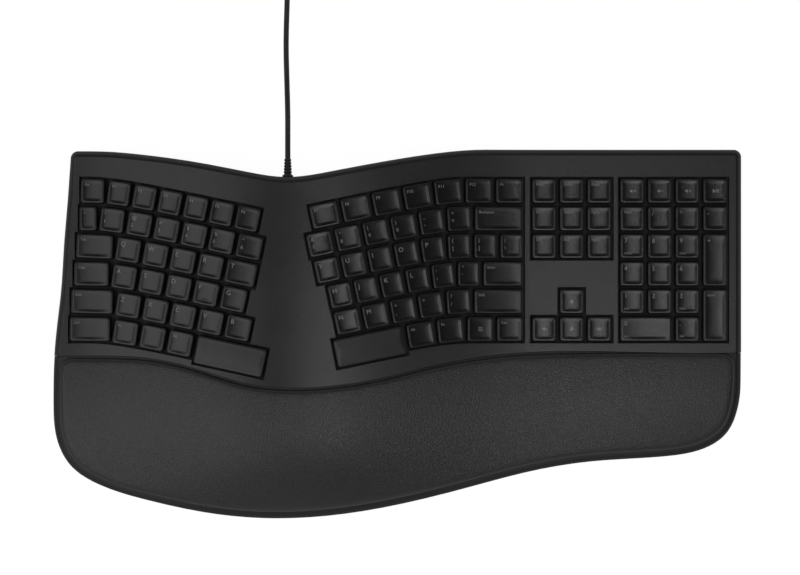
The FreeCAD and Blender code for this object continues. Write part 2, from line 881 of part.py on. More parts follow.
def make_top_case():
    """Deck shell with its key wells, well skirts, bosses and cable outlet."""
    outer = outer_block(under_deck(0.0))
    inner = under_deck(case_wall)
    hollow = prism(outline(case_wall), lower_top - 1, above_all).common(inner)
    shell = outer.cut(hollow).common(behind_seam(0.0))
    wells, collars = [], []
    skirt_sheet = under_deck(case_wall / 2).cut(under_deck(carrier_top - layer_gap))
    for side, row_bands in WELLS:
        well = stepped_outline(side, row_bands, well_clearance)
        collar = stepped_outline(side, row_bands, well_clearance + well_skirt)
        wells.append(prism(well, BELOW_DESK + 1, above_all))
        collars.append(prism(collar, BELOW_DESK + 1, above_all))
    skirts = Part.makeCompound(collars).common(skirt_sheet).Solids
    shell = shell.fuse(skirts + bosses(TOP_SCREWS, under_deck(case_wall / 2)))
    shell = shell.cut(wells)
    hole_radius = neck_radius + size("outlet_clearance")
    hole_start = Vector(OUTLET_X, OUTLET_Y - case_wall - MARGIN, outlet_z)
    return shell.cut(Part.makeCylinder(hole_radius, case_wall + 2 * MARGIN, hole_start, Vector(0, 1, 0)))


def make_palm_rest_base():
    """Hard shell under the cushion, with its bosses."""
    outer = outer_block(under_palm(0.0))
    hollow = prism(outline(case_wall), lower_top - 1, above_all)
    hollow = hollow.common(under_palm(-case_wall)).cut(behind_seam(-seam_gap - case_wall))
    shell = outer.cut(hollow).cut(behind_seam(-seam_gap))
    return shell.fuse(bosses(PALM_SCREWS, under_palm(-case_wall / 2)))


def make_palm_cushion():
    """Padded field that lies on the palm rest base: crowned, with its sides drawn in at the edge."""
    block = prism(outline(size("cushion_inset")), lower_top - 1, above_all)
    block = block.cut(behind_seam(-seam_gap - size("cushion_side_gap")))
    corners = [edge for edge in block.Edges if is_sharp_upright(edge)]
    block = block.makeFillet(size("cushion_corner"), corners)
    pad = block.common(under_palm(size("cushion_thickness"), size("cushion_crown")))
    pad = pad.cut(under_palm(size("cushion_seat")))
    top = max(pad.Faces, key=lambda face: face.Area if face.normalAt(*middle_of(face)).z > 0 else 0)
    return pad.makeFillet(size("cushion_edge_radius"), top.Edges)


def middle_of(face):
    """Parameters of the middle of a face."""
    u0, u1, v0, v1 = face.ParameterRange
    return (u0 + u1) / 2, (v0 + v1) / 2


def is_sharp_upright(edge):
    """Whether an edge is one of the two upright corners where the pad's side meets the seam."""
    box = edge.BoundBox
    upright_edge = box.XLength < 0.01 and box.YLength < 0.01
    return upright_edge and abs(box.XMin) > field(200) and box.YMin > field(-20) and box.YMax < field(0)


def make_bottom_case():
    """Lower tray with its floor, wall, screw posts, plate posts and leg pockets."""
    inset = size("lower_inset")
    edge = outline(inset)
    tray = prism(edge, foot_height, lower_top)
    under_rim = [e for e in tray.Edges if e.BoundBox.ZMax < foot_height + 0.01]
    tray = tray.makeChamfer(size("lower_chamfer"), under_rim)
    tray = tray.cut(prism(outline(inset + case_wall), floor_top, lower_top + 1))
    posts = [upright(post_radius, foot_height, post_top, x, y) for x, y in TOP_SCREWS + PALM_SCREWS]
    stands = [upright(plate_post, floor_top - ROOT, above_all, x, y) for x, y in PLATE_POSTS]
    stands = Part.makeCompound(stands).common(under_deck(plate_bottom + layer_gap)).Solids
    board_x, board_y = BOARD_PLACE
    reach_x = size("board_length") / 2 - size("board_post_inset")
    reach_y = size("board_width") / 2 - size("board_post_inset")
    for sx in (-1, 1):
        for sy in (-1, 1):
            low = Vector(field(board_x) + sx * reach_x, field(board_y) + sy * reach_y, floor_top - ROOT)
            stands.append(Part.makeCylinder(size("board_post") / 2, size("board_height") - low.z, low))
    tray = tray.fuse(posts + stands + [leg_housing(x, y) for x, y in LEG_PLACES.values()])
    holes = []
    for x, y in TOP_SCREWS + PALM_SCREWS:
        holes.append(upright(bore_radius, 0, post_top + 1, x, y))
        holes.append(upright(head_radius + size("bore_clearance"), 0, head_seat, x, y))
    holes += [leg_pocket(x, y) for x, y in LEG_PLACES.values()]
    return tray.cut(holes)


leg_length = size("leg_length")
leg_width = size("leg_width")
leg_thickness = size("leg_thickness")
leg_clearance = size("leg_clearance")
leg_pin_radius = size("leg_pin") / 2
leg_axis_z = foot_height + size("leg_seat") + leg_thickness / 2
pocket_top = leg_axis_z + leg_thickness / 2 + leg_clearance
pocket_wall = size("pocket_wall")


def leg_box(x, y, margin, low, high):
    """A box round a folded leg: it lies behind its pin, which is at the given place."""
    reach = leg_thickness / 2 + leg_clearance + margin
    corner = Vector(field(x) - leg_width / 2 - leg_clearance - margin, field(y) - reach, low)
    length = leg_length + leg_thickness / 2 + 2 * leg_clearance + 2 * margin
    return Part.makeBox(leg_width + 2 * leg_clearance + 2 * margin, length, high - low, corner)


def leg_housing(x, y):
    """The raised part of the floor that holds a leg."""
    return leg_box(x, y, pocket_wall, foot_height, pocket_top + size("pocket_roof"))


def leg_pocket(x, y):
    """The space that a leg folds into, with the holes for its pin."""
    reach = leg_width / 2 + leg_clearance + size("leg_pin_reach")
    start = Vector(field(x) - reach, field(y), leg_axis_z)
    hole = Part.makeCylinder(leg_pin_radius + size("bore_clearance"), 2 * reach, start, Vector(1, 0, 0))
    return leg_box(x, y, 0.0, 0, pocket_top).fuse(hole)


def footprint(side, growth):
    """Footprint of the layers under one key field."""
    return stepped_outline(side, FIELDS[side], growth)


def make_carrier(side):
    """Plate with a guide hole for each stem and a rim that stands on the membrane."""
    plate = deck_layer(carrier_top, carrier_bottom, footprint(side, carrier_growth))
    rim = deck_layer(carrier_bottom - ROOT / 2, dome_base, footprint(side, carrier_growth))
    rim = rim.cut(prism(footprint(side, carrier_growth - size("carrier_rim")), BELOW_DESK, above_all))
    hole_radius = stem_radius + size("stem_clearance")
    hole_depth = size("carrier_thickness") + 2 * ROOT
    hole = Part.makeCylinder(hole_radius, hole_depth, Vector(0, 0, -carrier_bottom - ROOT))
    holes = [placed(hole, spot) for spot, _ in all_stems(side)]
    return plate.fuse(rim).cut(holes)


def make_domes(side):
    """Hollow rubber domes, one under each key's stem."""
    radius = size("dome_diameter") / 2
    wall = size("dome_wall")
    tall = size("dome_height")
    crown = stem_radius - size("dome_step")
    outside = Part.makeCone(radius, crown, tall)
    inside = Part.makeCone(radius - wall, crown - wall, tall - wall)
    dome = outside.cut(inside)
    dome.translate(Vector(0, 0, -dome_base))
    return [moved(dome, spot) for spot, has_dome in all_stems(side) if has_dome]


def moved(shape, placement):
    """A copy of a shape carried by a placement, on top of where it already is."""
    shape = shape.copy()
    shape.Placement = placement.multiply(shape.Placement)
    return shape


def sweep(edges, radius, start, direction):
    """A round rod along edges."""
    ring = Part.Wire(Part.makeCircle(radius, start, direction))
    return Part.Wire(edges).makePipeShell([ring], True, False)


def make_space_bar_wire(group):
    """Wire stabiliser that is clipped under a space bar: a long rod with a bent arm at each end."""
    _, width, depth, side, x, y = next(key for key in KEYS if key[0] == group)
    radius = size("wire_diameter") / 2
    bend = size("wire_bend")
    reach = width / 2 - size("wire_inset")
    z = cap_rise - cap_wall - radius - size("wire_gap")
    back = depth / 2 - cap_wall - radius - size("wire_back")
    front = back - size("wire_reach")
    left_bend = corner_arc(Vector(bend - reach, back - bend, z), bend, 180, 90)
    right_bend = corner_arc(Vector(reach - bend, back - bend, z), bend, 90, 0)
    edges = [
        Part.makeLine(Vector(-reach, front, z), Vector(-reach, back - bend, z)),
        left_bend,
        Part.makeLine(Vector(bend - reach, back, z), Vector(reach - bend, back, z)),
        right_bend,
        Part.makeLine(Vector(reach, back - bend, z), Vector(reach, front, z)),
    ]
    rod = sweep(edges, radius, Vector(-reach, front, z), Vector(0, 1, 0))
    return moved(rod, seat(side, x, y))


# Cable: a tube along straight runs and tangent arcs, then a coil for the length that is put away

outlet = Vector(OUTLET_X, relief_end, outlet_z)
FLOOR_Z = cable_radius + size("cable_lift")
CABLE_ROUTE = [
    outlet,
    outlet + Vector(0, 12, 0),
    outlet + Vector(-0.3, 31, -8.5),
    Vector(OUTLET_X - 1.0, relief_end + 50, FLOOR_Z),
    Vector(OUTLET_X - 1.8, relief_end + 78, FLOOR_Z),
    Vector(OUTLET_X - 0.9, relief_end + 106, FLOOR_Z),
    Vector(OUTLET_X - 0.6, relief_end + 126, cable_radius + size("coil_lift")),
    Vector(OUTLET_X - 0.6, relief_end + 138, cable_radius + size("coil_lift")),
]
coil_start = CABLE_ROUTE[-1]


def turn_radius(before, corner, after):
    """Radius of the arc that a route takes at a corner."""
    first, second = corner - before, after - corner
    half_turn = first.getAngle(second) / 2
    return 0.45 * min(first.Length, second.Length) / tan(half_turn)


def route_edges(points):
    """Straight runs along a route, joined by tangent arcs."""
    edges = []
    last = points[0]
    for before, corner, after in zip(points, points[1:], points[2:]):
        first, second = (corner - before).normalize(), (after - corner).normalize()
        cut = 0.45 * min((corner - before).Length, (after - corner).Length)
        start, end = corner - first * cut, corner + second * cut
        half_turn = first.getAngle(second) / 2
        radius = cut / tan(half_turn)
        inward = (second - first).normalize()
        middle = corner + inward * (radius / cos(half_turn) - radius)
        edges += [Part.makeLine(last, start), Part.Arc(start, middle, end).toShape()]
        last = end
    edges.append(Part.makeLine(last, points[-1]))
    return edges


def make_tube(name, points):
    """A cable tube along a route, with its radii and length printed."""
    edges = route_edges(points)
    tube = sweep(edges, cable_radius, points[0], points[1] - points[0])
    length = sum(edge.Length for edge in edges)
    radii = [turn_radius(*trio) for trio in zip(points, points[1:], points[2:])]
    print(f"{name}: length {length:.1f}, radii", " ".join(f"{r:.0f}" for r in radii))
    print(f"{name}: volume {tube.Volume:.0f}, section times length {pi * cable_radius ** 2 * length:.0f}")
    return tube


TURNS_A_LAYER = 3
LAYERS = 4
coil_radius = size("coil_radius")
turn_pitch = size("cable_diameter") + size("coil_turn_gap")
layer_pitch = size("cable_diameter") + size("coil_layer_gap")
coil_reach = coil_radius + turn_pitch * TURNS_A_LAYER / 2
COIL_CENTRE = coil_start - Vector(coil_reach, 0, 0)


def coil_point(turns):
    """A point of the coil after some turns: in and out at a steady rate, up a layer at each reversal."""
    layer = int(turns // TURNS_A_LAYER)
    layer = min(layer, LAYERS - 1)
    within = turns - layer * TURNS_A_LAYER
    inwards = within if layer % 2 == 0 else TURNS_A_LAYER - within
    radius = coil_reach - turn_pitch * inwards
    climb = 0.0
    for reversal in range(1, LAYERS):
        climb += smooth_step((turns - reversal * TURNS_A_LAYER) * 2 + 0.5)
    angle = 2 * pi * turns
    offset = Vector(radius * cos(angle), radius * sin(angle), layer_pitch * climb)
    return COIL_CENTRE + offset


def coil_direction(turns):
    """Direction of the coil at a point, square to its radius except for the climb."""
    step = 0.001
    if turns == 0 or turns == TURNS_A_LAYER * LAYERS:
        return Vector(0, 1, 0)
    return (coil_point(turns + step) - coil_point(turns - step)).normalize()


def biarc(start, start_direction, end, end_direction):
    """Two arcs that leave one point and reach another in given directions."""
    chord = end - start
    both = start_direction + end_direction
    spread = 2 * (1 - start_direction.dot(end_direction))
    across = chord.dot(both)
    reach = (-across + (across ** 2 + spread * chord.dot(chord)) ** 0.5) / spread
    joint = (start + end + (start_direction - end_direction) * reach) * 0.5
    arcs = []
    for a, b, apex in (
        (start, joint, start + start_direction * reach),
        (joint, end, end - end_direction * reach),
    ):
        middle = (a + b) * 0.5
        half_turn = (apex - a).getAngle(b - a)
        bulge = cos(half_turn) / (1 + cos(half_turn))
        arcs.append(Part.Arc(a, middle + (apex - middle) * bulge, b).toShape())
    return arcs


def make_coil():
    """The coil as one unbroken tube, with its least gap to itself printed."""
    steps = 4 * TURNS_A_LAYER * LAYERS
    edges = [Part.makeLine(COIL_CENTRE + Vector(coil_reach, -cable_radius * 2, 0), coil_start)]
    for step in range(steps):
        first, second = step / 4, (step + 1) / 4
        edges += biarc(coil_point(first), coil_direction(first), coil_point(second), coil_direction(second))
    end = coil_point(steps / 4)
    edges.append(Part.makeLine(end, end + Vector(0, cable_radius * 2, 0)))
    tube = sweep(edges, cable_radius, edges[0].firstVertex().Point, Vector(0, 1, 0))
    length = sum(edge.Length for edge in edges)
    print(f"cable_coil: length {length:.1f}")
    section = pi * cable_radius ** 2
    print(f"cable_coil: volume {tube.Volume:.0f}, section times length {section * length:.0f}")
    print(f"cable_coil: least gap to itself {coil_gap():.2f}")
    return tube


def coil_gap():
    """Least clear distance between turns of the coil, measured on points along it."""
    per_turn = 24
    points = [tuple(coil_point(i / per_turn)) for i in range(per_turn * TURNS_A_LAYER * LAYERS + 1)]
    least = 1e9
    for i, (ax, ay, az) in enumerate(points):
        for bx, by, bz in points[i + per_turn // 2:]:
            least = min(least, (ax - bx) ** 2 + (ay - by) ** 2 + (az - bz) ** 2)
    return least ** 0.5 - 2 * cable_radius


tail_start = coil_point(TURNS_A_LAYER * LAYERS) + Vector(0, cable_radius * 2, 0)
PLUG_AXIS_Z = size("plug_height") / 2 + size("plug_lift")
TAIL_ROUTE = [
    tail_start,
    tail_start + Vector(0, 9, 0),
    Vector(COIL_CENTRE.x + 25.0, COIL_CENTRE.y + 27, tail_start.z - 3.6),
    Vector(COIL_CENTRE.x + 16.0, COIL_CENTRE.y + 36, tail_start.z - 7.6),
    Vector(COIL_CENTRE.x + 4.0, COIL_CENTRE.y + 40, PLUG_AXIS_Z),
    Vector(COIL_CENTRE.x - 5.0, COIL_CENTRE.y + 40, PLUG_AXIS_Z),
]
plug_start = TAIL_ROUTE[-1]


def make_cable_tie():
    """Flat band round the turns on the coil's far left side."""
    gap = size("tie_gap")
    half_band = turn_pitch * TURNS_A_LAYER / 2 + cable_radius + gap + size("tie_side_gap")
    low = COIL_CENTRE.z - cable_radius - gap
    high = COIL_CENTRE.z + layer_pitch * (LAYERS - 1) + cable_radius + gap
    thick = size("tie_thickness")
    wide = size("tie_width")
    corner = Vector(COIL_CENTRE.x - coil_radius - half_band, COIL_CENTRE.y - wide / 2, low)
    opening = Part.makeBox(2 * half_band, wide, high - low, corner)
    corner = corner - Vector(thick, 0, thick)
    band = Part.makeBox(2 * half_band + 2 * thick, wide, high - low + 2 * thick, corner)
    return band.cut(opening)


# Objects of the document


def feature(name, shape):
    """A sub-part with a shape worked out in this file."""
    made = doc.addObject("Part::Feature", name)
    made.Label = name
    made.Shape = Part.makeCompound(shape) if isinstance(shape, list) else shape
    return made


def new_body(name):
    """An empty body with its label."""
    body = doc.addObject("PartDesign::Body", name)
    body.Label = name
    return body


def new_sketch(body, role, name):
    """A sketch on one of the body's own origin planes."""
    sketch = body.newObject("Sketcher::SketchObject", name)
    plane = next(item for item in body.Origin.OriginFeatures if item.Role == role)
    sketch.AttachmentSupport = (plane, [""])
    sketch.MapMode = "FlatFace"
    return sketch


def draw_rectangle(sketch, width, depth):
    """A rectangle about the sketch's origin, with its two sizes bound to the sheet."""
    a, b = float(width) / 2, float(depth) / 2
    corners = [(-a, -b), (a, -b), (a, b), (-a, b)]
    for (x0, y0), (x1, y1) in zip(corners, corners[1:] + corners[:1]):
        sketch.addGeometry(Part.LineSegment(Vector(x0, y0, 0), Vector(x1, y1, 0)), False)
    for line in range(4):
        sketch.addConstraint(Sketcher.Constraint("Coincident", line, 2, (line + 1) % 4, 1))
    sketch.addConstraint(Sketcher.Constraint("Horizontal", 0))
    sketch.addConstraint(Sketcher.Constraint("Horizontal", 2))
    sketch.addConstraint(Sketcher.Constraint("Vertical", 1))
    sketch.addConstraint(Sketcher.Constraint("Vertical", 3))
    sketch.addConstraint(Sketcher.Constraint("Symmetric", 0, 1, 1, 2, -1, 1))
    for line, axis, amount in ((0, "DistanceX", width), (1, "DistanceY", depth)):
        index = sketch.addConstraint(Sketcher.Constraint(axis, line, 1, line, 2, float(amount)))
        sketch.setExpression(f"Constraints[{index}]", words(amount))


def draw_profile(sketch, points):
    """A closed outline whose corners are bound to the sheet, each by its distances from the origin."""
    count = len(points)
    for (x0, y0), (x1, y1) in zip(points, points[1:] + points[:1]):
        start, end = Vector(float(x0), float(y0), 0), Vector(float(x1), float(y1), 0)
        sketch.addGeometry(Part.LineSegment(start, end), False)
    for line in range(count):
        sketch.addConstraint(Sketcher.Constraint("Coincident", line, 2, (line + 1) % count, 1))
    for line, point in enumerate(points):
        for axis, on_axis, amount in (("DistanceX", -2, point[0]), ("DistanceY", -1, point[1])):
            if float(amount) == 0.0:
                sketch.addConstraint(Sketcher.Constraint("PointOnObject", line, 1, on_axis))
            else:
                index = sketch.addConstraint(Sketcher.Constraint(axis, -1, 1, line, 1, float(amount)))
                sketch.setExpression(f"Constraints[{index}]", words(amount))


def pad(body, sketch, length, middle=False):
    """A pad of a sketch."""
    made = body.newObject("PartDesign::Pad", body.Name + "_pad")
    made.Profile = sketch
    made.Midplane = middle
    bind(made, Length=length)
    sketch.Visibility = False
    return made


def revolve(body, sketch):
    """A full turn of a sketch about its own vertical axis."""
    made = body.newObject("PartDesign::Revolution", body.Name + "_turn")
    made.Profile = sketch
    made.ReferenceAxis = (sketch, ["V_Axis"])
    made.Angle = 360
    return made


def make_screw():
    """One housing screw, head down: turned about Z, with the underside of its head at height 0."""
    body = new_body("screw_pattern")
    sketch = new_sketch(body, "XZ_Plane", "screw_profile")
    head = cell("screw_head") / 2
    shank = cell("screw_shank") / 2
    tall = cell("screw_head_height")
    draw_profile(
        sketch,
        [(0, 0), (head, 0), (head, tall), (shank, tall), (shank, tall + cell("screw_length")),
         (0, tall + cell("screw_length"))],
    )
    revolve(body, sketch)
    return body


def make_foot():
    """One rubber foot, a round pad with its lower edge eased."""
    body = new_body("foot_pattern")
    sketch = new_sketch(body, "XZ_Plane", "foot_profile")
    radius = cell("foot_diameter") / 2
    edge = cell("foot_edge")
    tall = cell("foot_height")
    draw_profile(sketch, [(0, 0), (radius - edge, 0), (radius, edge), (radius, tall), (0, tall)])
    revolve(body, sketch)
    return body


def make_relief():
    """Strain relief turned about its own axis: flange inside the wall, neck, collar, tapered sleeve."""
    body = new_body("cable_strain_relief")
    sketch = new_sketch(body, "XZ_Plane", "relief_profile")
    flange_end = cell("relief_flange_thickness")
    neck_end = flange_end + cell("relief_inner_gap") + cell("case_wall") + cell("relief_outer_gap")
    collar_end = neck_end + cell("relief_collar_length")
    tip = neck_end + cell("relief_length")
    flange = cell("relief_flange") / 2
    neck = cell("relief_neck") / 2
    collar = cell("relief_collar") / 2
    root = cell("relief_root") / 2
    draw_profile(
        sketch,
        [(0, 0), (flange, 0), (flange, flange_end), (neck, flange_end), (neck, neck_end),
         (collar, neck_end), (collar, collar_end), (root, collar_end), (cell("relief_tip") / 2, tip),
         (0, tip)],
    )
    revolve(body, sketch)
    body.Placement = Placement(Vector(OUTLET_X, relief_start, outlet_z), Rotation(Vector(1, 0, 0), -90))
    return body


def make_board():
    """Controller board: a padded rectangle with a hole near each corner."""
    body = new_body("controller_board")
    sketch = new_sketch(body, "XY_Plane", "board_outline")
    draw_rectangle(sketch, cell("board_length"), cell("board_width"))
    pad(body, sketch, cell("board_thickness"))
    x, y = BOARD_PLACE
    place(body, Cell(field(x), f"({x} * Sizes.key_pitch / {DRAWN_PITCH})"),
          Cell(field(y), f"({y} * Sizes.key_pitch / {DRAWN_PITCH})"), cell("board_height"))
    return body


def make_board_parts():
    """What stands on the board, and the lead from its connector to the strain relief."""
    top = size("board_height") + size("board_thickness")
    x, y = field(BOARD_PLACE[0]), field(BOARD_PLACE[1])
    back = y + size("board_width") / 2
    length, width, tall = size("connector_length"), size("connector_width"), size("connector_height")
    chip = size("chip_size")
    inset = size("connector_inset")
    connector = Part.makeBox(length, width, tall, Vector(OUTLET_X - length / 2, back - width - inset, top))
    chip_box = Part.makeBox(chip, chip, size("chip_height"), Vector(x - chip / 2 - 12, y - chip, top))
    crystal = Part.makeBox(size("crystal_length"), size("crystal_width"), size("crystal_height"),
                           Vector(x + 6, y - 6, top))
    lead_start = Vector(OUTLET_X, back - inset, outlet_z)
    lead = Part.makeCylinder(cable_radius, relief_start - lead_start.y, lead_start, Vector(0, 1, 0))
    sockets = []
    socket_length, socket_width = size("socket_length"), size("socket_width")
    for offset in SOCKET_OFFSETS:
        corner = Vector(x + offset, back - socket_width - size("connector_inset"), top)
        sockets.append(Part.makeBox(socket_length, socket_width, socket_width, corner))
    return [connector, chip_box, crystal, lead] + sockets


def make_leg(name):
    """Flip-out leg: a plate with one round end and a pin through it."""
    x, y = LEG_PLACES[name]
    plate = doc.addObject("Part::Box", name + "_plate")
    bind(plate, Length=cell("leg_width"), Width=cell("leg_length"), Height=cell("leg_thickness"))
    along_x = Cell(field(x), f"({x} * Sizes.key_pitch / {DRAWN_PITCH})")
    along_y = Cell(field(y), f"({y} * Sizes.key_pitch / {DRAWN_PITCH})")
    low = cell("foot_height") + cell("leg_seat")
    middle = low + cell("leg_thickness") / 2
    place(plate, along_x - cell("leg_width") / 2, along_y, low)
    knuckle = doc.addObject("Part::Cylinder", name + "_knuckle")
    bind(knuckle, Radius=cell("leg_thickness") / 2, Height=cell("leg_width"))
    sideways = Rotation(Vector(0, 1, 0), 90)
    place(knuckle, along_x - cell("leg_width") / 2, along_y, middle, sideways)
    pin = doc.addObject("Part::Cylinder", name + "_pin")
    reach = cell("leg_width") / 2 + cell("leg_pin_reach")
    bind(pin, Radius=cell("leg_pin") / 2, Height=reach * 2)
    place(pin, along_x - reach, along_y, middle, sideways)
    leg = doc.addObject("Part::MultiFuse", name)
    leg.Shapes = [plate, knuckle, pin]
    leg.Label = name
    return leg


def make_plug_body():
    """Moulded plug body with its short neck, lying on the desk."""
    body = new_body("usb_plug_body")
    sketch = new_sketch(body, "YZ_Plane", "plug_section")
    draw_rectangle(sketch, cell("plug_width"), cell("plug_height"))
    pad(body, sketch, cell("plug_length"))
    doc.recompute()
    block = body.Tip
    fillet = body.newObject("PartDesign::Fillet", "plug_edges")
    long_edges = []
    for index, edge in enumerate(block.Shape.Edges, start=1):
        if edge.BoundBox.XLength > 1:
            long_edges.append(f"Edge{index}")
    fillet.Base = (block, long_edges)
    bind(fillet, Radius=cell("plug_edge"))
    neck_sketch = new_sketch(body, "YZ_Plane", "plug_neck_section")
    circle = Part.Circle(Vector(0, 0, 0), Vector(0, 0, 1), size("plug_neck") / 2)
    neck_sketch.addGeometry(circle, False)
    neck_sketch.addConstraint(Sketcher.Constraint("Coincident", 0, 3, -1, 1))
    index = neck_sketch.addConstraint(Sketcher.Constraint("Radius", 0, size("plug_neck") / 2))
    neck_sketch.setExpression(f"Constraints[{index}]", words(cell("plug_neck") / 2))
    neck = body.newObject("PartDesign::Pad", "plug_neck_pad")
    neck.Profile = neck_sketch
    neck.Reversed = True
    bind(neck, Length=cell("plug_neck_length"))
    body.Placement = Placement(
        plug_start - Vector(size("plug_neck_length"), 0, 0), Rotation(Vector(0, 0, 1), 180)
    )
    return body


def make_plug_shell():
    """Metal shell of the plug: a thin box tube round its contact tongue, open at the front."""
    length, width, tall = size("shell_length"), size("shell_width"), size("shell_height")
    wall = size("shell_wall")
    root = size("shell_root")
    x = plug_start.x - size("plug_neck_length") - size("plug_length")
    y, z = plug_start.y, plug_start.z
    tube = Part.makeBox(length, width, tall, Vector(x - length, y - width / 2, z - tall / 2))
    corner = Vector(x - length, y - width / 2 + wall, z - tall / 2 + wall)
    inside = Part.makeBox(length - root, width - 2 * wall, tall - 2 * wall, corner)
    tongue_width, tongue_height = size("tongue_width"), size("tongue_height")
    corner = Vector(x - length + size("tongue_setback"), y - tongue_width / 2, z)
    tongue = Part.makeBox(length - root, tongue_width, tongue_height, corner)
    return tube.cut(inside).fuse(tongue)


GROUPS = []
for key in KEYS:
    if key[0] not in GROUPS:
        GROUPS.append(key[0])

parts = [
    feature("bottom_case", make_bottom_case()),
    feature("top_case", make_top_case()),
    feature("palm_rest_base", make_palm_rest_base()),
    feature("palm_cushion", make_palm_cushion()),
]
for side in ("left", "right"):
    sole = footprint(side, carrier_growth)
    parts += [
        feature(f"key_carrier_{side}", make_carrier(side)),
        feature(f"rubber_domes_{side}", make_domes(side)),
        feature(f"membrane_{side}", deck_layer(membrane_top, membrane_bottom, sole)),
        feature(f"backing_plate_{side}", deck_layer(plate_top, plate_bottom, sole)),
        feature(f"space_bar_wire_{side}", make_space_bar_wire(f"space_bar_{side}")),
    ]
for group in GROUPS:
    caps = []
    for name, width, depth, side, x, y in KEYS:
        if name == group:
            caps.append(moved(cap_of(width, depth), seat(side, x, y, cap_rise)))
    parts.append(feature(group, caps if len(caps) > 1 else caps[0]))

screw = make_screw()
foot = make_foot()
parts += [make_relief(), make_board(), make_leg("tilt_leg_left"), make_leg("tilt_leg_right")]
doc.recompute()
parts.append(make_plug_body())
doc.recompute()

run_route = CABLE_ROUTE[:-1] + [coil_start - Vector(0, 2 * cable_radius, 0)]
screw_drop = head_seat - size("screw_head_height")
screws = [
    moved(screw.Shape, Placement(Vector(field(x), field(y), screw_drop), Rotation()))
    for x, y in TOP_SCREWS + PALM_SCREWS
]
feet = [moved(foot.Shape, Placement(Vector(field(x), field(y), 0), Rotation())) for x, y in FEET]
parts += [
    feature("screws", screws),
    feature("rubber_feet", feet),
    feature("board_parts", make_board_parts()),
    feature("usb_plug_shell", make_plug_shell()),
    feature("cable_run", make_tube("cable_run", run_route)),
    feature("cable_coil", make_coil()),
    feature("cable_end", make_tube("cable_end", TAIL_ROUTE)),
    feature("cable_tie", make_cable_tie()),
]
doc.recompute()

for thing in doc.Objects:
    if "Invalid" in thing.State or "Error" in thing.State:
        raise RuntimeError(f"{thing.Name} did not build: {thing.State}")
for part in parts:
    if part.Shape.isNull() or not part.Shape.isValid():
        raise RuntimeError(f"{part.Label} has no valid shape")

os.makedirs("parts", exist_ok=True)
for part in parts:
    part.Shape.exportStep(f"parts/{part.Label}.step")

for group in GROUPS:
    places = [(x, y) for name, _, _, _, x, y in KEYS if name == group]
    middle_x = sum(x for x, _ in places) / len(places)
    away = -deck_normal(middle_x)
    print(f"slide {group} {away.x:.6f} {away.y:.6f} {away.z:.6f} {len(places)}")
print(f"{len(parts)} sub-parts, {len(KEYS)} keys")
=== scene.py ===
from math import cos, pi, radians, sin, tan

import bpy
import numpy as np
from mathutils import Matrix, Vector


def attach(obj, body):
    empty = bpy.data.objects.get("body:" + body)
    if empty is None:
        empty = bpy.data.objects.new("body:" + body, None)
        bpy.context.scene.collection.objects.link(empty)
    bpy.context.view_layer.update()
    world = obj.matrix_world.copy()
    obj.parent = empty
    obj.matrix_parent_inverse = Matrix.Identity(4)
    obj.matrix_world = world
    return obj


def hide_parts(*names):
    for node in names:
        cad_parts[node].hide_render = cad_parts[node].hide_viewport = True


# Looks of a split ergonomic keyboard: dished keycaps with printed legends, a padded palm rest, a
# grained deck, the cable with its coil and plug, and what shows underneath.
# Sizes are in millimetres until a mesh is made. +X runs along the rows, +Y away from the user.

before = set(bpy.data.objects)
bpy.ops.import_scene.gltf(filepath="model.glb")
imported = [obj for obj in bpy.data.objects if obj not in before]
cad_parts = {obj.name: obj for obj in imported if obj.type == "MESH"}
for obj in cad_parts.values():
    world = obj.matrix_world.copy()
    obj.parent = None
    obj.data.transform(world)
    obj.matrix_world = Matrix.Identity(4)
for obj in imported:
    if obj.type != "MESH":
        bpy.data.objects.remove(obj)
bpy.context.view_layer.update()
MM = 0.001


# Camera: straight above, with a view so wide at the level of the deck

VIEW_CENTRE = (2.0, 31.7)
VIEW_HEIGHT = 2020.0
VIEW_WIDTH = 533.3
VIEW_LEVEL = 20.0
SENSOR = 36.0

camera_data = bpy.data.cameras.new("overhead_camera")
camera_data.sensor_width = SENSOR
camera_data.sensor_fit = "HORIZONTAL"
camera_data.lens = SENSOR * (VIEW_HEIGHT - VIEW_LEVEL) / VIEW_WIDTH
camera = bpy.data.objects.new("overhead_camera", camera_data)
camera.location = (VIEW_CENTRE[0] * MM, VIEW_CENTRE[1] * MM, VIEW_HEIGHT * MM)
bpy.context.scene.collection.objects.link(camera)
bpy.context.scene.camera = camera


# Shader expressions


def add_node(tree, kind, settings=None, sockets=None):
    """A node of a type with its settings, then the values or links of its sockets."""
    made = tree.nodes.new("ShaderNode" + kind)
    for name, value in (settings or {}).items():
        setattr(made, name, value)
    for name, value in (sockets or {}).items():
        if isinstance(value, bpy.types.NodeSocket):
            tree.links.new(value, made.inputs[name])
        else:
            made.inputs[name].default_value = value
    return made


class Shade:
    """A value socket of one material: arithmetic on it adds Math nodes to that material."""

    def __init__(self, finish, socket):
        self.finish = finish
        self.socket = socket

    def math(self, operation, *values, clamp=False):
        """The result of a Math node on this value and others."""
        settings = {"operation": operation, "use_clamp": clamp}
        node = self.finish.node("Math", settings, dict(enumerate((self, *values))))
        return Shade(self.finish, node.outputs[0])

    def __add__(self, other):
        return self.math("ADD", other)

    __radd__ = __add__

    def __sub__(self, other):
        return self.math("SUBTRACT", other)

    def __rsub__(self, other):
        return (self * -1.0).math("ADD", other)

    def __mul__(self, other):
        return self.math("MULTIPLY", other)

    __rmul__ = __mul__

    def over(self, low, high):
        """0 where the value is at low, 1 where it is at high, clamped between."""
        return self.math("SUBTRACT", low).math("MULTIPLY", 1.0 / (high - low), clamp=True)


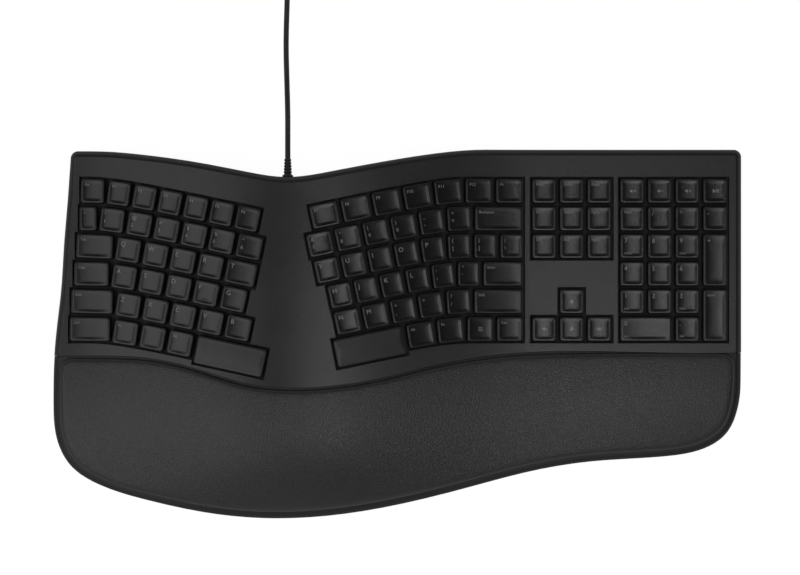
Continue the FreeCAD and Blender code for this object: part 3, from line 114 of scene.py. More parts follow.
class Finish:
    """One material, built from expressions on its own coordinates and patterns."""

    def __init__(self, name, colour, roughness, metallic=0.0):
        self.material = bpy.data.materials.new(name)
        self.material.use_nodes = True
        self.tree = self.material.node_tree
        self.shader = self.tree.nodes["Principled BSDF"]
        self.shader.inputs["Base Color"].default_value = (*colour, 1.0)
        self.shader.inputs["Roughness"].default_value = roughness
        self.shader.inputs["Metallic"].default_value = metallic
        self.material.diffuse_color = (*colour, 1.0)
        self.coordinates = None

    def node(self, kind, settings=None, sockets=None):
        """A node of this material, whose sockets also take expressions."""
        plain = {name: getattr(value, "socket", value) for name, value in (sockets or {}).items()}
        return add_node(self.tree, kind, settings, plain)

    def place(self):
        """Position on the object, in metres."""
        if self.coordinates is None:
            self.coordinates = Shade(self, self.node("TexCoord").outputs["Object"])
        return self.coordinates

    def noise(self, size, detail=3.0, roughness=0.5):
        """Soft random variation, from 0 to 1, whose patches are about a size in millimetres across."""
        sockets = {"Vector": self.place(), "Scale": 1000.0 / size, "Detail": detail, "Roughness": roughness}
        return Shade(self, self.node("TexNoise", {}, sockets).outputs[0])

    def cells(self, size):
        """Distance to the edge of cells that are about a size in millimetres across."""
        sockets = {"Vector": self.place(), "Scale": 1000.0 / size}
        made = self.node("TexVoronoi", {"feature": "DISTANCE_TO_EDGE"}, sockets)
        return Shade(self, made.outputs["Distance"])

    def attribute(self, name):
        """A value stored on the mesh's points."""
        return Shade(self, self.node("Attribute", {"attribute_name": name}).outputs["Fac"])

    def wave(self, size, axis, distortion):
        """Bands across an axis, from 0 to 1, one every 2 pi times a size in millimetres."""
        settings = {"bands_direction": axis}
        sockets = {"Vector": self.place(), "Scale": 50.0 / size, "Distortion": distortion}
        return Shade(self, self.node("TexWave", settings, sockets).outputs["Fac"])

    def mixed(self, share, first, second):
        """A colour between two, by a share from 0 to 1."""
        ends = [end if isinstance(end, Shade) else (*end, 1.0) for end in (first, second)]
        made = self.node("Mix", {"data_type": "RGBA"}, {0: share, 6: ends[0], 7: ends[1]})
        return Shade(self, made.outputs[2])

    def feed(self, name, value):
        """Leads an expression into one of the shader's own sockets."""
        self.tree.links.new(value.socket, self.shader.inputs[name])

    def coat(self, share, first, second):
        """Makes the base colour one between two, by a share from 0 to 1."""
        self.feed("Base Color", self.mixed(share, first, second))

    def bump(self, height, depth):
        """Raises the surface by a height from 0 to 1 times a depth in millimetres."""
        made = self.node("Bump", {}, {"Strength": 1.0, "Distance": depth * MM, "Height": height})
        self.tree.links.new(made.outputs["Normal"], self.shader.inputs["Normal"])

    def gloss(self, **sockets):
        """Plain numbers on the shader's own sockets."""
        for name, value in sockets.items():
            self.shader.inputs[name.replace("_", " ")].default_value = value


def tone(level, tint=(1.0, 1.0, 1.0)):
    """A near-grey colour of one level, each channel times its tint."""
    return tuple(level * share for share in tint)


def keycap_finish():
    """Moulded keycap: fine texture, a little smoother and darker where fingertips land, with a painted
    highlight on the rounded border of its top.
    """
    made = Finish("keycap_plastic", tone(0.010), 0.3)
    worn = made.attribute("touch")
    mottle = made.noise(9.0, 2.0)
    grain = made.noise(0.35, 2.0)
    shade = made.mixed(mottle.over(0.3, 0.7), tone(0.0085), tone(0.0115, (1.0, 1.0, 1.02)))
    rubbed = made.mixed(worn, shade, tone(0.007))
    # Painted highlight: a paler band on the rounded border of each cap's top
    rim = made.attribute("rim")
    made.coat(rim, rubbed, tone(0.022))
    made.feed("Roughness", grain * 0.1 + 0.18 - worn * 0.02)
    made.bump(grain, 0.018)
    return made.material


def case_finish(name, level, roughness):
    """Case plastic with an eroded texture and faint mould mottle."""
    made = Finish(name, tone(level), roughness + 0.1)
    mottle = made.noise(40.0, 3.0)
    grain = made.noise(0.5, 3.0, 0.6)
    made.coat(mottle.over(0.25, 0.75), tone(level * 0.88), tone(level * 1.08))
    made.feed("Roughness", grain * 0.12 + mottle * 0.05 + roughness)
    made.bump(grain, 0.03)
    return made.material


def cushion_finish():
    """Coated cover of the palm rest: pebbled grain, and a band of painted shade along its foot."""
    made = Finish("cushion_cover", tone(0.05), 0.4)
    pebbles = made.cells(1.5)
    fine = made.noise(0.5, 3.0)
    mottle = made.noise(55.0, 3.0)
    # Painted shade: darker along the cushion's foot, where it meets the shell
    edge = made.attribute("edge")
    shade = made.mixed(mottle.over(0.3, 0.7), tone(0.028), tone(0.034, (1.0, 1.0, 1.02)))
    creases = made.mixed(pebbles.over(0.0, 0.12), tone(0.030), shade)
    made.coat(edge, creases, tone(0.02))
    made.feed("Roughness", 0.31 - pebbles.over(0.0, 0.3) * 0.08 + fine * 0.06)
    made.bump(pebbles.over(0.0, 0.22) * 0.8 + fine * 0.2, 0.06)
    made.gloss(Sheen_Weight=0.04, Sheen_Roughness=0.5)
    return made.material


def underside_finish():
    """Coarser moulded plastic of the lower case."""
    made = Finish("underside_plastic", tone(0.014), 0.55)
    grain = made.noise(0.8, 3.0, 0.65)
    mottle = made.noise(60.0, 3.0)
    made.coat(mottle.over(0.3, 0.7), tone(0.011), tone(0.016))
    made.feed("Roughness", grain * 0.18 + 0.44)
    made.bump(grain, 0.06)
    return made.material


def rubber_finish(name, level, roughness):
    """Matt rubber with a dusty bloom."""
    made = Finish(name, tone(level), roughness)
    bloom = made.noise(12.0, 4.0, 0.6)
    grain = made.noise(0.4, 2.0)
    made.coat(bloom.over(0.35, 0.75), tone(level * 0.85), tone(level * 1.25))
    made.feed("Roughness", bloom * 0.15 + (roughness - 0.08))
    made.bump(grain, 0.02)
    return made.material


def cable_finish():
    """Extruded jacket: smooth, with a slow waver of gloss along it."""
    made = Finish("cable_jacket", tone(0.024), 0.45)
    waver = made.noise(14.0, 3.0)
    fine = made.noise(0.6, 2.0)
    made.coat(waver.over(0.3, 0.7), tone(0.020), tone(0.029))
    made.feed("Roughness", waver * 0.16 + 0.32)
    made.bump(fine, 0.012)
    return made.material


def metal_finish(name, level, tint, roughness):
    """Plated or drawn metal with fine streaks and faint tarnish."""
    made = Finish(name, tone(level, tint), roughness, 1.0)
    streaks = made.wave(0.5, "X", 3.0)
    tarnish = made.noise(6.0, 4.0, 0.6)
    made.coat(tarnish.over(0.35, 0.8), tone(level, tint), tone(level * 0.8, tint))
    made.feed("Roughness", streaks * 0.12 + tarnish * 0.1 + (roughness - 0.08))
    return made.material


def legend_finish():
    """Printed legend: pale grey ink with a slightly uneven lay-down."""
    made = Finish("legend_ink", tone(0.36), 0.5)
    speckle = made.noise(0.5, 3.0)
    made.coat(speckle.over(0.3, 0.7), tone(0.27), tone(0.36))
    made.feed("Roughness", speckle * 0.2 + 0.4)
    return made.material


def board_finish():
    """Solder mask over glass fibre, with traces that shine a little through it."""
    made = Finish("solder_mask", (0.02, 0.12, 0.05), 0.4)
    weave = made.noise(1.2, 2.0)
    traces = made.cells(3.0)
    made.coat(traces.over(0.05, 0.09), (0.035, 0.19, 0.075), (0.018, 0.105, 0.042))
    made.feed("Roughness", weave * 0.2 + 0.28)
    made.bump(weave, 0.02)
    return made.material


def film_finish():
    """Clear film over printed silver tracks."""
    made = Finish("membrane_film", (0.55, 0.58, 0.6), 0.25)
    tracks = made.cells(4.0)
    made.coat(tracks.over(0.04, 0.08), (0.72, 0.72, 0.7), (0.42, 0.46, 0.48))
    made.feed("Roughness", tracks.over(0.0, 0.3) * 0.2 + 0.15)
    return made.material


def strap_finish():
    """Woven hook-and-loop strap: fine ribs crossed by looser ones."""
    made = Finish("strap_weave", tone(0.03), 0.85)
    across = made.wave(0.35, "Y", 0.4)
    down = made.wave(0.5, "Z", 0.6)
    weave = across * 0.5 + down * 0.5
    made.coat(weave, tone(0.018), tone(0.045))
    made.feed("Roughness", weave * 0.15 + 0.75)
    made.bump(weave, 0.08)
    return made.material


def dome_finish():
    """Translucent silicone, a little clouded."""
    made = Finish("dome_silicone", (0.6, 0.6, 0.57), 0.4)
    cloud = made.noise(3.0, 3.0)
    made.coat(cloud, (0.5, 0.5, 0.48), (0.66, 0.66, 0.63))
    made.feed("Roughness", cloud * 0.2 + 0.3)
    return made.material


FINISHES = {
    "keycap": keycap_finish(),
    "deck": case_finish("deck_plastic", 0.024, 0.2),
    # A darker copy of the deck plastic for the palm rest base, painted shade for the step at the seam
    "base": case_finish("palm_base_plastic_painted_shade", 0.01, 0.36),
    "cushion": cushion_finish(),
    "underside": underside_finish(),
    "inner": rubber_finish("inner_plastic", 0.018, 0.6),
    "foot": rubber_finish("foot_rubber", 0.03, 0.8),
    "cable": cable_finish(),
    "plug": rubber_finish("plug_moulding", 0.026, 0.5),
    "steel": metal_finish("zinc_steel", 0.55, (1.0, 1.01, 1.03), 0.38),
    "wire": metal_finish("drawn_wire", 0.6, (1.0, 1.0, 1.01), 0.3),
    "screw": metal_finish("black_zinc", 0.09, (1.0, 1.0, 1.05), 0.4),
    "shell": metal_finish("plug_shell", 0.66, (1.0, 1.0, 0.98), 0.26),
    "legend": legend_finish(),
    "board": board_finish(),
    "film": film_finish(),
    "strap": strap_finish(),
    "dome": dome_finish(),
}


# Pieces as surfaces


def point_mesh(name, points, faces, attributes=None, smooth=True):
    """A mesh object from points in millimetres and faces, with values stored on its points."""
    mesh = bpy.data.meshes.new(name)
    mesh.from_pydata((np.asarray(points, float).reshape(-1, 3) * MM).tolist(), [], faces)
    for key, values in (attributes or {}).items():
        layer = mesh.attributes.new(key, "FLOAT", "POINT")
        layer.data.foreach_set("value", np.asarray(values, np.float32).ravel())
    mesh.polygons.foreach_set("use_smooth", [smooth] * len(mesh.polygons))
    mesh.update()
    made = bpy.data.objects.new(name, mesh)
    bpy.context.scene.collection.objects.link(made)
    return made


def grid_faces(rows, columns, wrap_rows=False, wrap_columns=False):
    """Quads of a grid of points counted row by row, with its ends joined where it wraps."""
    i = np.arange(rows if wrap_rows else rows - 1)[:, None]
    j = np.arange(columns if wrap_columns else columns - 1)[None, :]
    next_i, next_j = (i + 1) % rows, (j + 1) % columns
    corners = [i * columns + j, i * columns + next_j, next_i * columns + next_j, next_i * columns + j]
    return np.stack(corners, axis=-1).reshape(-1, 4).tolist()


def turned(faces):
    """The same faces seen from their other side."""
    return [face[::-1] for face in faces]


def skin_faces(count, sides):
    """Faces of a skin of rings that is closed by a flat end at its first and its last ring."""
    last = list(range((count - 1) * sides, count * sides))
    return turned(grid_faces(count, sides, wrap_columns=True)) + [list(range(sides)), last[::-1]]


def joined(parts):
    """Points and faces of one mesh from the points and faces of its parts."""
    points, faces = [], []
    start = 0
    for part_points, part_faces in parts:
        points.append(part_points)
        faces += [[corner + start for corner in face] for face in part_faces]
        start += len(part_points)
    return np.concatenate(points), faces


def full_turn(count):
    """Angles spread evenly over one turn."""
    return np.linspace(0, 2 * pi, count, endpoint=False)


def spin(turn):
    """The matrix that turns rows of flat points by an angle."""
    return np.array([(cos(turn), sin(turn)), (-sin(turn), cos(turn))])


def finished(piece, finish, body, slot, *nodes):
    """Gives a piece its material and its place in the frame, and the nodes that it stands for."""
    piece.data.materials.clear()
    piece.data.materials.append(FINISHES[finish])
    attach(piece, body)
    if nodes:
        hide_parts(*nodes)
    return piece


def tube(name, path, radii, sides, up=(0.0, 0.0, 1.0)):
    """A round skin along a path: at each point a ring of its radius, square to the path, with flat ends."""
    ahead = np.gradient(path, axis=0)
    ahead /= np.linalg.norm(ahead, axis=1)[:, None]
    side = np.cross(ahead, up)
    side /= np.linalg.norm(side, axis=1)[:, None]
    top = np.cross(side, ahead)
    turn = full_turn(sides)
    across, upright = np.outer(radii, np.cos(turn)), np.outer(radii, np.sin(turn))
    rings = path[:, None] + side[:, None] * across[..., None] + top[:, None] * upright[..., None]
    return point_mesh(name, rings, skin_faces(len(path), sides))


def smooth_step(share):
    """0 below 0, 1 above 1, and a smooth rise between."""
    share = np.clip(share, 0.0, 1.0)
    return share * share * (3 - 2 * share)


# The cable: one NURBS line from the strain relief, through the coil, to the plug

CABLE_DIAMETER = 3.6
OUTLET = np.array([-73.0, 117.6, 15.1])
FLOOR_Z = CABLE_DIAMETER / 2 + 0.05
COIL_Z = CABLE_DIAMETER / 2 + 0.8
COIL_RADIUS = 21.0
TURNS_A_LAYER = 3
LAYERS = 4
TURN_PITCH = 4.2
COIL_REACH = COIL_RADIUS + TURN_PITCH * TURNS_A_LAYER / 2
COIL_START = np.array([OUTLET[0] - 0.6, OUTLET[1] + 138.0, COIL_Z])
COIL_CENTRE = COIL_START - np.array([COIL_REACH, 0, 0])
POINTS_A_TURN = 18


def coil_points():
    """Points of the coil: in and out at a steady rate, and up one layer over each half turn of reversal."""
    turns = np.arange(0, TURNS_A_LAYER * LAYERS + 1e-6, 1 / POINTS_A_TURN)
    layer = np.minimum(turns // TURNS_A_LAYER, LAYERS - 1)
    within = turns - layer * TURNS_A_LAYER
    inwards = np.where(layer % 2 == 0, within, TURNS_A_LAYER - within)
    radius = (COIL_REACH - TURN_PITCH * inwards) / cos(pi / POINTS_A_TURN)
    climb = np.zeros_like(turns)
    for reversal in range(1, LAYERS):
        climb += smooth_step((turns - reversal * TURNS_A_LAYER) * 2 + 0.5)
    angle = 2 * pi * turns
    flat = np.stack([radius * np.cos(angle), radius * np.sin(angle), TURN_PITCH * climb], axis=1)
    return COIL_CENTRE + flat


COIL = coil_points()
TAIL_START = COIL[-1] + np.array([0, CABLE_DIAMETER, 0])
PLUG_AXIS_Z = 4.3
LEAD_ROUTE = OUTLET + np.array([
    (0, 0, 0), (0, 12, 0), (-0.3, 31, -8.5), (-1.0, 50, FLOOR_Z - OUTLET[2]), (-1.8, 78, FLOOR_Z - OUTLET[2]),
    (-0.9, 106, FLOOR_Z - OUTLET[2]), (-0.6, 126, COIL_Z - OUTLET[2]),
])
TAIL_ROUTE = np.array([
    TAIL_START + (0, 9, 0),
    (COIL_CENTRE[0] + 25, COIL_CENTRE[1] + 27, TAIL_START[2] - 3.6),
    (COIL_CENTRE[0] + 16, COIL_CENTRE[1] + 36, TAIL_START[2] - 7.6),
    (COIL_CENTRE[0] + 4, COIL_CENTRE[1] + 40, PLUG_AXIS_Z),
    (COIL_CENTRE[0] - 5, COIL_CENTRE[1] + 40, PLUG_AXIS_Z),
])
CABLE_POINTS = np.concatenate([LEAD_ROUTE, COIL, TAIL_ROUTE])


def make_cable():
    """The cable as a curve of one spline with a round bevel."""
    line = bpy.data.curves.new("cable", "CURVE")
    line.dimensions = "3D"
    line.bevel_depth = CABLE_DIAMETER / 2 * MM
    line.bevel_resolution = 5
    line.use_fill_caps = True
    line.resolution_u = 6
    spline = line.splines.new("NURBS")
    spline.points.add(len(CABLE_POINTS) - 1)
    weights = np.ones((len(CABLE_POINTS), 1))
    spline.points.foreach_set("co", np.hstack([CABLE_POINTS * MM, weights]).ravel())
    spline.order_u = 3
    spline.use_endpoint_u = True
    made = bpy.data.objects.new("cable", line)
    bpy.context.scene.collection.objects.link(made)
    return made


cable = finished(make_cable(), "cable", "housing", "cable_black", "cable_run", "cable_coil", "cable_end")


def superellipse(turn, half_width, half_height, power):
    """A rounded rectangle: each half size times the signed power of cosine and sine of the turn."""
    across = np.sign(np.cos(turn)) * np.abs(np.cos(turn)) ** (2 / power)
    up = np.sign(np.sin(turn)) * np.abs(np.sin(turn)) ** (2 / power)
    return across * half_width, up * half_height


# Distance along the plug, half width, half height and power of its rounded section
PLUG_TAPER = [
    (0.0, 2.05, 2.05, 2.0), (0.4, 2.5, 2.5, 2.0), (2.2, 2.65, 2.65, 2.0), (2.6, 2.3, 2.3, 2.0),
    (3.4, 2.3, 2.3, 2.0), (3.8, 2.7, 2.7, 2.0), (5.6, 2.7, 2.7, 2.0), (6.0, 2.35, 2.35, 2.0),
    (6.8, 2.35, 2.35, 2.0), (7.2, 3.0, 2.7, 2.2), (8.2, 6.2, 3.1, 3.0), (9.2, 7.2, 3.6, 4.0),
    (11.0, 7.7, 3.9, 5.0), (15.0, 7.75, 3.95, 5.0),
]
PLUG_END = [(33.0, 7.75, 3.95, 5.0), (37.0, 7.7, 3.92, 5.0), (37.7, 7.5, 3.75, 5.0), (38.0, 7.0, 3.3, 5.0)]
PLUG_SIDES, PLUG_RIDGES = 48, 6


def make_plug():
    """Moulded plug along -X: its section grows from the cable's to a ridged grip that ends in a flat face."""
    ridges = []
    for ridge in range(PLUG_RIDGES):
        x = 16.5 + 2.4 * ridge
        ridges += [(x, 7.75, 3.95, 5.0), (x + 0.3, 7.4, 3.62, 5.0)]
        ridges += [(x + 0.9, 7.4, 3.62, 5.0), (x + 1.2, 7.75, 3.95, 5.0)]
    stations = np.array(PLUG_TAPER + ridges + PLUG_END)
    along, half_width, half_height, power = stations.T[..., None]
    across, up = superellipse(full_turn(PLUG_SIDES), half_width, half_height, power)
    rings = np.stack([np.broadcast_to(-along, across.shape), across, up], axis=-1) + TAIL_ROUTE[-1]
    return point_mesh("usb_plug_grip", rings, skin_faces(len(stations), PLUG_SIDES))


plug = finished(make_plug(), "plug", "housing", "plug_black", "usb_plug_body")


STRAP_SIDES = 72
STRAP_THICKNESS = 0.45


def make_strap():
    """Strap round the coil's left side: a band with softened edges, carried round a rounded rectangle."""
    low = COIL_CENTRE[2] - CABLE_DIAMETER / 2 - 0.2
    high = COIL_CENTRE[2] + TURN_PITCH * (LAYERS - 1) + CABLE_DIAMETER / 2 + 0.2
    middle = np.array([COIL_CENTRE[0] - COIL_RADIUS, COIL_CENTRE[1], (low + high) / 2])
    half_width = TURN_PITCH * TURNS_A_LAYER / 2 + CABLE_DIAMETER / 2 + STRAP_THICKNESS
    half_height = (high - low) / 2
    turn = full_turn(STRAP_SIDES)
    inner = np.array(superellipse(turn, half_width, half_height, 4.0))
    outer = np.array(superellipse(turn, half_width + STRAP_THICKNESS, half_height + STRAP_THICKNESS, 4.2))
    section = []
    for y, share in ((-3.0, 0.3), (-2.8, 1.0), (2.8, 1.0), (3.0, 0.3), (3.0, 0.0), (-3.0, 0.0)):
        x, z = inner + (outer - inner) * share
        section.append(np.stack([x, np.full_like(x, y), z], axis=1))
    faces = grid_faces(len(section), STRAP_SIDES, wrap_rows=True, wrap_columns=True)
    return point_mesh("cable_strap", np.concatenate(section) + middle, faces)


strap = finished(make_strap(), "strap", "housing", "plug_black", "cable_tie")


# Heights of the deck

LEFT_HEIGHT, CREST_HEIGHT, RIGHT_HEIGHT = 19.5, 36.0, 18.7
CREST_X, LEFT_FOOT_X, RIGHT_FOOT_X = -73.0, -225.0, 100.0


def deck_height(x):
    """Top of the deck: level at both ends, with a crest over the split."""
    left = smooth_step((x - LEFT_FOOT_X) / (CREST_X - LEFT_FOOT_X))
    right = smooth_step((RIGHT_FOOT_X - x) / (RIGHT_FOOT_X - CREST_X))
    return np.where(
        np.asarray(x) < CREST_X,
        LEFT_HEIGHT + (CREST_HEIGHT - LEFT_HEIGHT) * left,
        RIGHT_HEIGHT + (CREST_HEIGHT - RIGHT_HEIGHT) * right,
    )


# Keys: rows are numbered from the user's side

KEY_PITCH, KEY_GAP = 18.4, 1.6
SPACE_ROW_Y = 4.0
LEFT_BEND_X, RIGHT_BEND_X = -205.0, 47.0
SPLIT_ANGLE, SPLIT_BEND = radians(12.0), 18.0
CAP_RISE, CAP_TAPER, CAP_CORNER = 3.0, 0.4, 1.8


# Side, row, left end and right end, then its keys from left to right in runs of one group: share of the
# row's width and the legends, a space apart, with a line break between upper and lower sign
KEY_ROWS = [
    ("left", 5, -211.5, -90.0, ("escape_key", 1.05, "Esc"), ("function_keys_left", 1, "F1 F2 F3 F4 F5 F6")),
    ("left", 4, -212.5, -88.2, ("number_keys_left", 0.76, "~\n`"),
     ("number_keys_left", 1, "!\n1 @\n2 #\n3 $\n4 %\n5 ^\n6")),
    ("left", 3, -214.5, -92.0, ("tab_key", 1.46, "Tab"), ("upper_letter_keys_left", 1, "Q W E R"),
     ("upper_letter_keys_left", 1.2, "T")),
    ("left", 2, -216.0, -98.7, ("caps_lock_key", 1.4, "Caps"), ("home_letter_keys_left", 1, "A S D F G")),
    ("left", 1, -218.0, -95.6, ("shift_key_left", 1.65, "Shift"), ("lower_letter_keys_left", 1, "Z X C V B")),
    ("left", 0, -219.0, -86.4, ("modifier_keys_left", 1.6, "Ctrl"), ("modifier_keys_left", 1, "Fn  Alt"),
     ("space_bar_left", 2.6, "")),
    ("right", 5, -58.0, 85.0, ("function_keys_right", 1, "F7 F8 F9 F10 F11 F12 Fn")),
    ("right", 4, -60.0, 85.0, ("number_keys_right", 1, "&\n7 *\n8 (\n9 )\n0 _\n- +\n="),
     ("backspace_key", 1.88, "Backspace")),
    ("right", 3, -55.0, 85.0, ("upper_letter_keys_right", 1, "Y U I O P {\n[ }\n] |\n\\")),
    ("right", 2, -46.0, 85.0, ("home_letter_keys_right", 1, "H J K L :\n; \"\n'"),
     ("enter_key", 1.7, "Enter")),
    ("right", 1, -42.0, 85.0, ("lower_letter_keys_right", 1, "N M <\n, >\n. ?\n/"),
     ("shift_key_right", 1.9, "Shift")),
    ("right", 0, -42.0, 85.0, ("space_bar_right", 2.6, ""),
     ("modifier_keys_right", 1.08, "Alt Fn menu Ctrl")),
    ("right", 5, 88.9, 144.1, ("system_keys", 1, "PrtSc ScrLk Pause")),
    ("right", 4, 88.9, 144.1, ("editing_keys", 1, "Ins Home PgUp")),
    ("right", 3, 88.9, 144.1, ("editing_keys", 1, "Del End PgDn")),
    ("right", 1, 107.3, 125.7, ("arrow_up_key", 1, "up")),
    ("right", 0, 88.9, 144.1, ("arrow_left_key", 1, "left"), ("arrow_down_key", 1, "down"),
     ("arrow_right_key", 1, "right")),
    ("right", 5, 147.6, 221.2, ("media_keys", 1, "mute quieter louder play")),
    ("right", 4, 147.6, 221.2, ("pad_operator_keys", 1, "Num / * -")),
    ("right", 3, 147.6, 202.8, ("pad_number_keys", 1, "7\nHome 8 9\nPgUp")),
    ("right", 2, 147.6, 202.8, ("pad_number_keys", 1, "4 5 6")),
    ("right", 1, 147.6, 202.8, ("pad_number_keys", 1, "1\nEnd 2 3\nPgDn")),
    ("right", 0, 147.6, 202.8, ("pad_zero_key", 2, "0\nIns"), ("pad_number_keys", 1, ".\nDel")),
    ("right", 2, 202.8, 221.2, ("pad_plus_key", 1, "+")),
    ("right", 0, 202.8, 221.2, ("pad_enter_key", 1, "Enter")),
]
TALL_KEYS = ("pad_plus_key", "pad_enter_key")
SPACE_BARS = ("space_bar_left", "space_bar_right")
SPACE_BAR_EXTRA = 3.0


def drop(side, x):
    """How far a row has come towards the user at x: nothing at its outer end, then a straight fall."""
    run = np.maximum(x - LEFT_BEND_X if side == "left" else RIGHT_BEND_X - x, 0.0)
    return tan(SPLIT_ANGLE) * (run - SPLIT_BEND * (1 - np.exp(-run / SPLIT_BEND)))


def slopes(side, x):
    """Rise of a row towards the back, and of the deck upwards, per millimetre to the right."""
    step = 0.01
    back = -(drop(side, x + step) - drop(side, x - step)) / (2 * step)
    up = (deck_height(x + step) - deck_height(x - step)) / (2 * step)
    return float(back), float(up)


def seat_frame(side, x, y):
    """Foot point on the deck, and the directions along the row, away from the user and square to the deck."""
    back, up = slopes(side, x)
    normal = np.array([-up, 0, 1]) / np.hypot(up, 1)
    along = np.array([1, back, up])
    along /= np.linalg.norm(along)
    foot = np.array([x, y - drop(side, x), deck_height(x)])
    return foot, np.stack([along, np.cross(normal, along), normal])


def lay_out_keys():
    """Each key as its group, width, depth, legend, foot point and directions."""
    keys = []
    for side, row, left, right, *runs in KEY_ROWS:
        cells = [(group, share, legend) for group, share, legends in runs for legend in legends.split(" ")]
        total = sum(cell[1] for cell in cells)
        x = left
        for group, share, legend in cells:
            width = (right - left) * share / total
            middle = x + width / 2
            back, up = slopes(side, middle)
            y = SPACE_ROW_Y + KEY_PITCH * row
            depth = KEY_PITCH * np.cos(np.arctan(back))
            if group in TALL_KEYS:
                y += KEY_PITCH / 2
                depth += KEY_PITCH
            if group in SPACE_BARS:
                y -= SPACE_BAR_EXTRA / 2
                depth += SPACE_BAR_EXTRA
            length = width * np.hypot(1, np.hypot(back, up))
            foot, axes = seat_frame(side, middle, y)
            keys.append((group, length - KEY_GAP, depth - KEY_GAP, legend, foot, axes))
            x += width
    return keys


KEYS = lay_out_keys()


DISH_DEPTH, DISH_POWER, DISH_WIDTH = 0.42, 2.4, 8.0
SPACE_BAR_CROWN = 0.25


def cap_dish(group, x, y, half_width, half_depth):
    """Depth of a cap's top below its border: a scoop across each key, and a slight crown along a space bar.
    """
    if group in SPACE_BARS:
        return SPACE_BAR_CROWN * (y / half_depth) ** 2
    scoop = 1 - np.clip(np.abs(x) / half_width, 0, 1) ** DISH_POWER
    return DISH_DEPTH * scoop * min(half_width / DISH_WIDTH, 1.0)


# Rings of a cap from its top's border outwards: inset from the top outline, and height, then under and inside
CAP_RIM = [(1.9, 0.0), (1.2, -0.03), (0.62, -0.14), (0.22, -0.38), (0.0, -0.85), (-0.2, -2.8), (-0.4, -4.52)]
CAP_INNER = [(-0.3, -4.6), (0.8, -4.6), (0.9, -1.3)]
FLAT_RINGS = 6
CORNER_STEPS = 3
CORNER_LOSS, LEAST_CORNER = 0.6, 0.4
TOUCH_REACH = 5.5
# Place, spread and strength of the painted highlight on the rounded border of a cap's top
RIM_HIGHLIGHT_RING, RIM_HIGHLIGHT_SPREAD, RIM_HIGHLIGHT_STRENGTH = FLAT_RINGS + 3.5, 0.9, 0.55
NEARLY_ZERO = 1e-6


def cap_grid(group, width, depth):
    """A keycap as a square grid: each square ring of the grid is one rounded rectangle of its profile."""
    half_width, half_depth = width / 2 - CAP_TAPER, depth / 2 - CAP_TAPER
    profile = CAP_RIM + CAP_INNER
    rings = FLAT_RINGS + len(profile)
    index = np.arange(-rings, rings + 1)
    i, j = np.meshgrid(index, index, indexing="ij")
    ring = np.maximum(np.abs(i), np.abs(j))
    shares = np.clip(ring / (FLAT_RINGS + 1), 0, 1)
    steps = np.clip(ring - FLAT_RINGS - 1, 0, len(profile) - 1)
    inset = np.array([p[0] for p in profile])[steps]
    level = np.array([p[1] for p in profile])[steps]
    a, b = (half_width - inset) * shares, (half_depth - inset) * shares
    corner = np.clip(CAP_CORNER - np.maximum(inset, 0) * CORNER_LOSS, LEAST_CORNER, CAP_CORNER) * shares
    rounded = ring > CORNER_STEPS
    side_of = np.maximum(ring - CORNER_STEPS, 1)
    into = np.array([0.0, tan(radians(15)), tan(radians(30)), 1.0])

    def spread(k, half):
        """Distance from the middle: even up to where the corner starts, then by equal turns round it."""
        last = np.abs(k)
        beyond = np.where(rounded, np.clip(last - side_of, 0, CORNER_STEPS), 0)
        outer = np.clip(last / side_of, 0, 1) * (half - corner)
        straight = np.where(rounded, outer, half * last / np.maximum(ring, 1))
        return np.sign(k) * (straight + into[beyond] * corner)

    x, y = spread(i, a), spread(j, b)
    core_x, core_y = np.clip(x, corner - a, a - corner), np.clip(y, corner - b, b - corner)
    off_x, off_y = x - core_x, y - core_y
    length = np.hypot(off_x, off_y)
    scale = np.where(rounded & (length > NEARLY_ZERO), corner / np.maximum(length, NEARLY_ZERO), 1.0)
    on_corner = (np.abs(off_x) > NEARLY_ZERO) & (np.abs(off_y) > NEARLY_ZERO)
    x = np.where(on_corner, core_x + off_x * scale, x)
    y = np.where(on_corner, core_y + off_y * scale, y)
    top = steps < len(CAP_RIM) - 3
    fade = np.clip((FLAT_RINGS + 3 - ring) / 3, 0, 1)
    z = level - np.where(top, cap_dish(group, x, y, half_width, half_depth) * fade, 0.0)
    touch = np.exp(-(x * x + y * y) / TOUCH_REACH ** 2) * (ring <= FLAT_RINGS + 2)
    # Painted highlight on the rounded border of the top, stored on the points for the material
    rim = np.exp(-((ring - RIM_HIGHLIGHT_RING) / RIM_HIGHLIGHT_SPREAD) ** 2) * RIM_HIGHLIGHT_STRENGTH
    side_count = 2 * rings + 1
    border = np.arange(side_count)
    ceiling = [
        border,
        border[1:] * side_count + side_count - 1,
        (side_count - 1) * side_count + border[::-1][1:],
        border[::-1][1:-1] * side_count,
    ]
    faces = turned(grid_faces(side_count, side_count)) + [np.concatenate(ceiling).tolist()]
    points = np.stack([x.ravel(), y.ravel(), z.ravel() + CAP_RISE], axis=1)
    return points, faces, touch.ravel(), rim.ravel()


def make_caps(group):
    """All caps of one group as one mesh, each carried from its own frame to its seat on the deck."""
    parts, touches, painted_edge_light_and_shade = [], [], []
    for name, width, depth, _, foot, axes in KEYS:
        if name == group:
            local, faces, touch, rim = cap_grid(group, width, depth)
            parts.append((local @ axes + foot, faces))
            touches.append(touch)
            painted_edge_light_and_shade.append(rim)
    # Fingertip wear, and the painted highlight on the rounded border of each cap
    attributes = {"touch": np.concatenate(touches), "rim": np.concatenate(painted_edge_light_and_shade)}
    return point_mesh(group + "_caps", *joined(parts), attributes)


# Legends

LETTER_SIZE, SIGN_SIZE, FUNCTION_SIZE, WORD_SIZE, SMALL_SIZE = 4.3, 3.3, 2.9, 2.5, 2.0
LEGEND_INSET, LEGEND_TOP, CAPITAL_SHARE = 3.0, 3.1, 0.72
INK_LIFT = 0.035
TEXTS = {}


